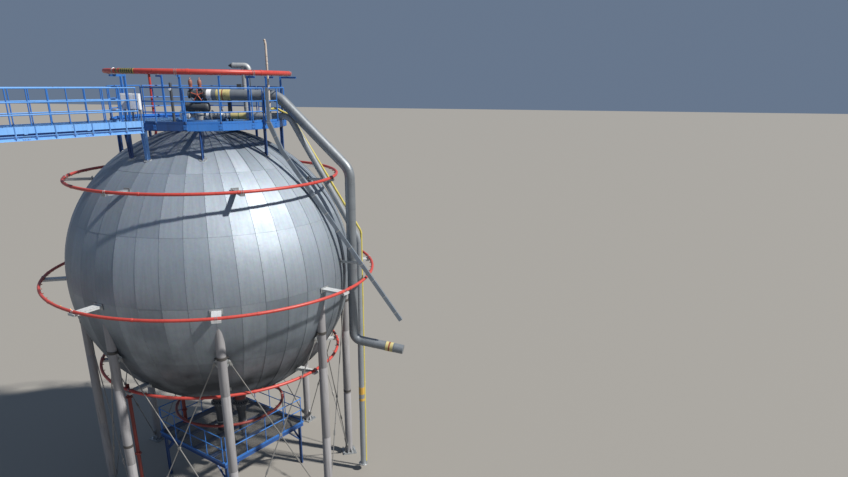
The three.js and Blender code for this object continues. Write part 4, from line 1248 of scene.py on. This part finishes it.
banded(drain, drain_route, [(0.03, 0.72, 0.085, 28, 4)])
for x, radius in ((0.62, 0.12), (0.77, 0.135), (0.94, 0.135), (1.06, 0.125)):
    flange_pair(drain, at(x, stack_y, branch_level), along_x, radius, 0.045, 8, 1, 1)
turned(drain, at(0.80, stack_y, branch_level), along_x, (
    (0, 0.09), (0.05, 0.125), (0.10, 0.125), (0.15, 0.09)), 28, 4)
turned(drain, at(0.875, stack_y, branch_level), straight_up, (
    (0, 0.07), (0.14, 0.07), (0.15, 0.05), (0.22, 0.045), (0.22, 0.012), (0.30, 0.012)), 20, 4)
hand = at(0.875, stack_y, 6.14)
tubes(drain, [circle_points(hand, along_x, toward_front, 0.085, 24)], 0.009, 10, 4, True)
for tip in circle_points(hand, along_x, toward_front, 0.082, 4, 20 / 90):
    tubes(drain, [[hand, tip]], 0.006, 8, 4)
jacketed(drain, drain_route, 0.1215, 0.70, drain_length - 0.04, 0.95)
banded(drain, drain_route, (
    (0.73, 1.30, 0.1245, 36, 2), (1.0, 1.03, 0.125, 36, 3), (ochre_start, ochre_start + 0.34, 0.1245, 36, 5),
    (ochre_start + 0.54, ochre_start + 0.66, 0.1248, 36, 5),
))
flange_pair(drain, drain_route[-1], straight_up, 0.2, 0.04, 12, 1, 1)
finished(drain, "drain_pipe_jacket", [
    painted_light_drain_jacket, zinc_steel, cream_enamel, green_enamel, neck_finish, ochre_enamel,
], ["drain_pipe"], crease=30)

# Vent line: a thin pipe whose mast stands by the railing, rusty and flaked at the top, and which runs
# on in yellow enamel beside the drain pipe to the ground.
flaked = coat("flaked_white_paint", "#b9aa9c", "#d8d3cb", "#6e4029", 0.6, 1.1, 0.6)
mast_x = 2.83
mast_y = -1.0
sleeve_count = 13
vent = bmesh.new()
mast = rounded([at(mast_x, mast_y, 6.05), at(mast_x, mast_y, 8.30), at(2.79, -0.985, 8.42)], 0.06, 4)
tubes(vent, [mast], 0.04, 16, 1)
for level in (6.3, 6.9, 7.6):
    disc(vent, at(mast_x, mast_y, level), straight_up, 0.05, 0.046, 20, 1)
mast_foot = at(mast_x, mast_y, deck_level + 0.001)
tubes(vent, [[mast_foot, at(mast_x, mast_y, 6.2)]], 0.045, 20, 2)
disc(vent, mast_foot, straight_up, 0.014, 0.09, 20, 2)
vent_route = rounded([
    at(mast_x, mast_y, 6.14), at(mast_x, -0.88, 6.11), at(mast_x, -0.06, 6.11), at(3.40, -0.06, 5.84),
    at(5.89, 0.24, 1.42), at(5.89, 0.24, pipe_foot),
], 0.11, 6)
tubes(vent, [vent_route], 0.043, 20)
for k in range(1, sleeve_count):
    point, aim = spot_on(vent_route, travel(vent_route) * k / sleeve_count)
    disc(vent, point - aim * 0.03, aim, 0.06, 0.0495, 20)
drain_spots = [spot_on(drain_route, k / 4)[0] for k in range(4 * int(drain_length))]
for distance in (4.2, 9.5, 12.5, 15.5):
    point, aim = spot_on(vent_route, distance)
    plate(vent, point, min(drain_spots, key=lambda spot: (spot - point).length), 0.04, 0.01, 2)
finished(vent, "vent_pipe", [yellow_enamel, flaked, zinc_steel], ["vent_line"])

# Cable duct: folded galvanised box with a lid in lengths, joined by clips, from the platform's edge down
# past the sphere, carried on two arms.
duct_finish = coat("galvanised_duct_sheet", "#74808c", "#919daa", "#5c5e60", 0.42, 0.1, 0.3, 0.4, 2.6)
duct_azimuth = -28.2
clip_pitch = 0.8
duct = bmesh.new()


def at_duct(level, radius=3.28):
    return polar(duct_azimuth, radius, level)


def box_run(points, width, finish):
    frames = []
    for k, point in enumerate(points):
        ahead = (points[min(k + 1, len(points) - 1)] - points[max(k - 1, 0)]).normalized()
        side = ahead.cross(toward_front).normalized() * (width / 2)
        rise = side.cross(ahead)
        frames.append([duct.verts.new(point + side * a + rise * b) for a, b in square])
    for near, far in zip(frames, frames[1:]):
        for j in range(4):
            duct.faces.new((near[j], near[(j + 1) % 4], far[(j + 1) % 4], far[j])).material_index = finish
    duct.faces.new(frames[0][::-1]).material_index = finish
    duct.faces.new(frames[-1]).material_index = finish


duct_points = [at_duct(5.68), at(3.28, -1.5, 4.72), at(7.55, -1.42, -1.764)]
box_run([at_duct(5.61), at_duct(6.85)], 0.094, 0)
box_run([at_duct(5.68), at_duct(5.70)], 0.144, 1)
box_run(duct_points, 0.144, 0)
for a, b in zip(duct_points, duct_points[1:]):
    aim = (b - a).normalized()
    count = round((b - a).length / clip_pitch)
    for k in range(count):
        middle = a.lerp(b, (k + 0.5) / count)
        box_run([middle - aim * 0.02, middle + aim * 0.02], 0.152, 1)
plate(duct, at_duct(5.69, edge_radius), at_duct(5.69, 3.30), 0.07, 0.07, 1)
plate(duct, at(6.02, -1.45, 0.56), at(5.10, -1.228, 0.56), 0.08, 0.08, 1)
disc(duct, at(5.20, -1.252, 0.56), Vector((1, -0.24, 0)), 0.03, 0.12, 20, 1)
finished(duct, "cable_duct_box", [duct_finish, zinc_steel], ["cable_duct"])

# Breather: a galvanised pipe on the platform that carries a level hood of sheet metal, with a pointed
# dark nose at one end and an elbow that turns down at the other, and a small junction box below it.
breather_x = 1.63
breather_y = 0.33
hood_level = 7.58
breather = bmesh.new()
breather_foot = at(breather_x, breather_y, deck_level + 0.001)
tubes(breather, [[breather_foot, at(breather_x, breather_y, 7.56)]], 0.08, 28)
for level in (6.1, 6.9):
    disc(breather, at(breather_x, breather_y, level), straight_up, 0.03, 0.085, 28)
disc(breather, breather_foot, straight_up, 0.02, 0.17, 28)
hood = rounded([
    at(1.24, breather_y, hood_level), at(1.83, breather_y, hood_level), at(1.83, breather_y, 7.325),
], 0.15)
tubes(breather, [hood], 0.103, 32)
lathed(breather, at(1.245, breather_y, hood_level), -along_x, (
    (0, 0), (0, 0.098), (0.02, 0.09), (0.15, 0.022), (0.155, 0)), 28, 1)
for distance in (0.04, 0.40, 0.52):
    point, aim = spot_on(hood, distance)
    tubes(breather, [[point, point + aim * 0.02]], 0.106, 32)
plate(breather, at(1.46, 0.22, 6.76), at(1.46, 0.22, 6.94), 0.16, 0.10, 1)
plate(breather, at(1.46, 0.27, 6.85), at(1.60, 0.32, 6.85), 0.03, 0.03)
tubes(breather, [[at(1.86, 0.30, 7.30), at(1.86, 0.30, 6.86)]], 0.014, 10, 1)
finished(breather, "breather_hood", [neck_finish, dark_casting], ["goose_neck_vent"])

# Instrument cabinets: folded steel boxes in white enamel with a door, hinges, a latch and glands, each
# on two legs beside the gate.
white_enamel = coat("white_enamel", "#e4e9ed", "#f6f8f9", "#7c6c5d", 0.45, 0.3, 0.3)
for name, x, y in (("left", -1.95, -1.74), ("right", -1.56, -1.96)):
    cabinet = bmesh.new()
    middle = at(x, y, 0)
    raised(cabinet, middle, 6.09, 6.605, 0.34, 0.22)
    raised(cabinet, middle + toward_front * 0.113, 6.115, 6.575, 0.30, 0.012)
    raised(cabinet, middle, 6.6, 6.609, 0.335, 0.215)
    for level in (6.2, 6.48):
        tubes(cabinet, [[at(x - 0.158, y - 0.115, level + rise) for rise in (-0.03, 0.03)]], 0.008, 10, 1)
    disc(cabinet, at(x + 0.11, y - 0.116, 6.35), toward_front, 0.012, 0.02, 16, 2)
    for shift in (-0.08, 0.0, 0.08):
        gland = at(x + shift, y, 6.03)
        cable_foot = at(x + shift * 0.6, y + 0.02, deck_level + 0.01)
        tubes(cabinet, [[gland + up(0.065), gland]], 0.016, 12, 2)
        tubes(cabinet, [[gland + up(0.01), cable_foot]], 0.008, 8, 2)
    for shift in (-0.13, 0.13):
        leg = middle + along_x * shift
        raised(cabinet, leg, deck_level + 0.001, 6.1, 0.038, 0.038, 1)
        raised(cabinet, leg, deck_level + 0.001, deck_level + 0.011, 0.09, 0.09, 1)
    finished(cabinet, f"cabinet_{name}_box", [white_enamel, zinc_steel, black_enamel], [f"cabinet_{name}"])

# Instrument post: a dark steel tube on a bolted foot beside the cabinets, with a rounded cap and a small
# gauge that faces the tank's front.
stand = bmesh.new()
stand_foot = at(-0.62, -1.10, deck_level)
turned(stand, stand_foot + up(0.001), straight_up, (
    (0, 0.10), (0.012, 0.10), (0.014, 0.05), (1.33, 0.05), (1.345, 0.045), (1.355, 0.02)))
heads(stand, bolt_circle(stand_foot, straight_up, 0.078, 4, 0.02), 0.011, 0.010, 0.014, 6, 1)
disc(stand, at(-0.62, -1.145, 6.75), toward_front, 0.05, 0.05, 24, 1)
disc(stand, at(-0.62, -1.193, 6.75), toward_front, 0.006, 0.045, 24, 2, 0.001)
finished(stand, "instrument_stand", [dark_casting, zinc_steel, white_enamel],
         ["instrument_post"])
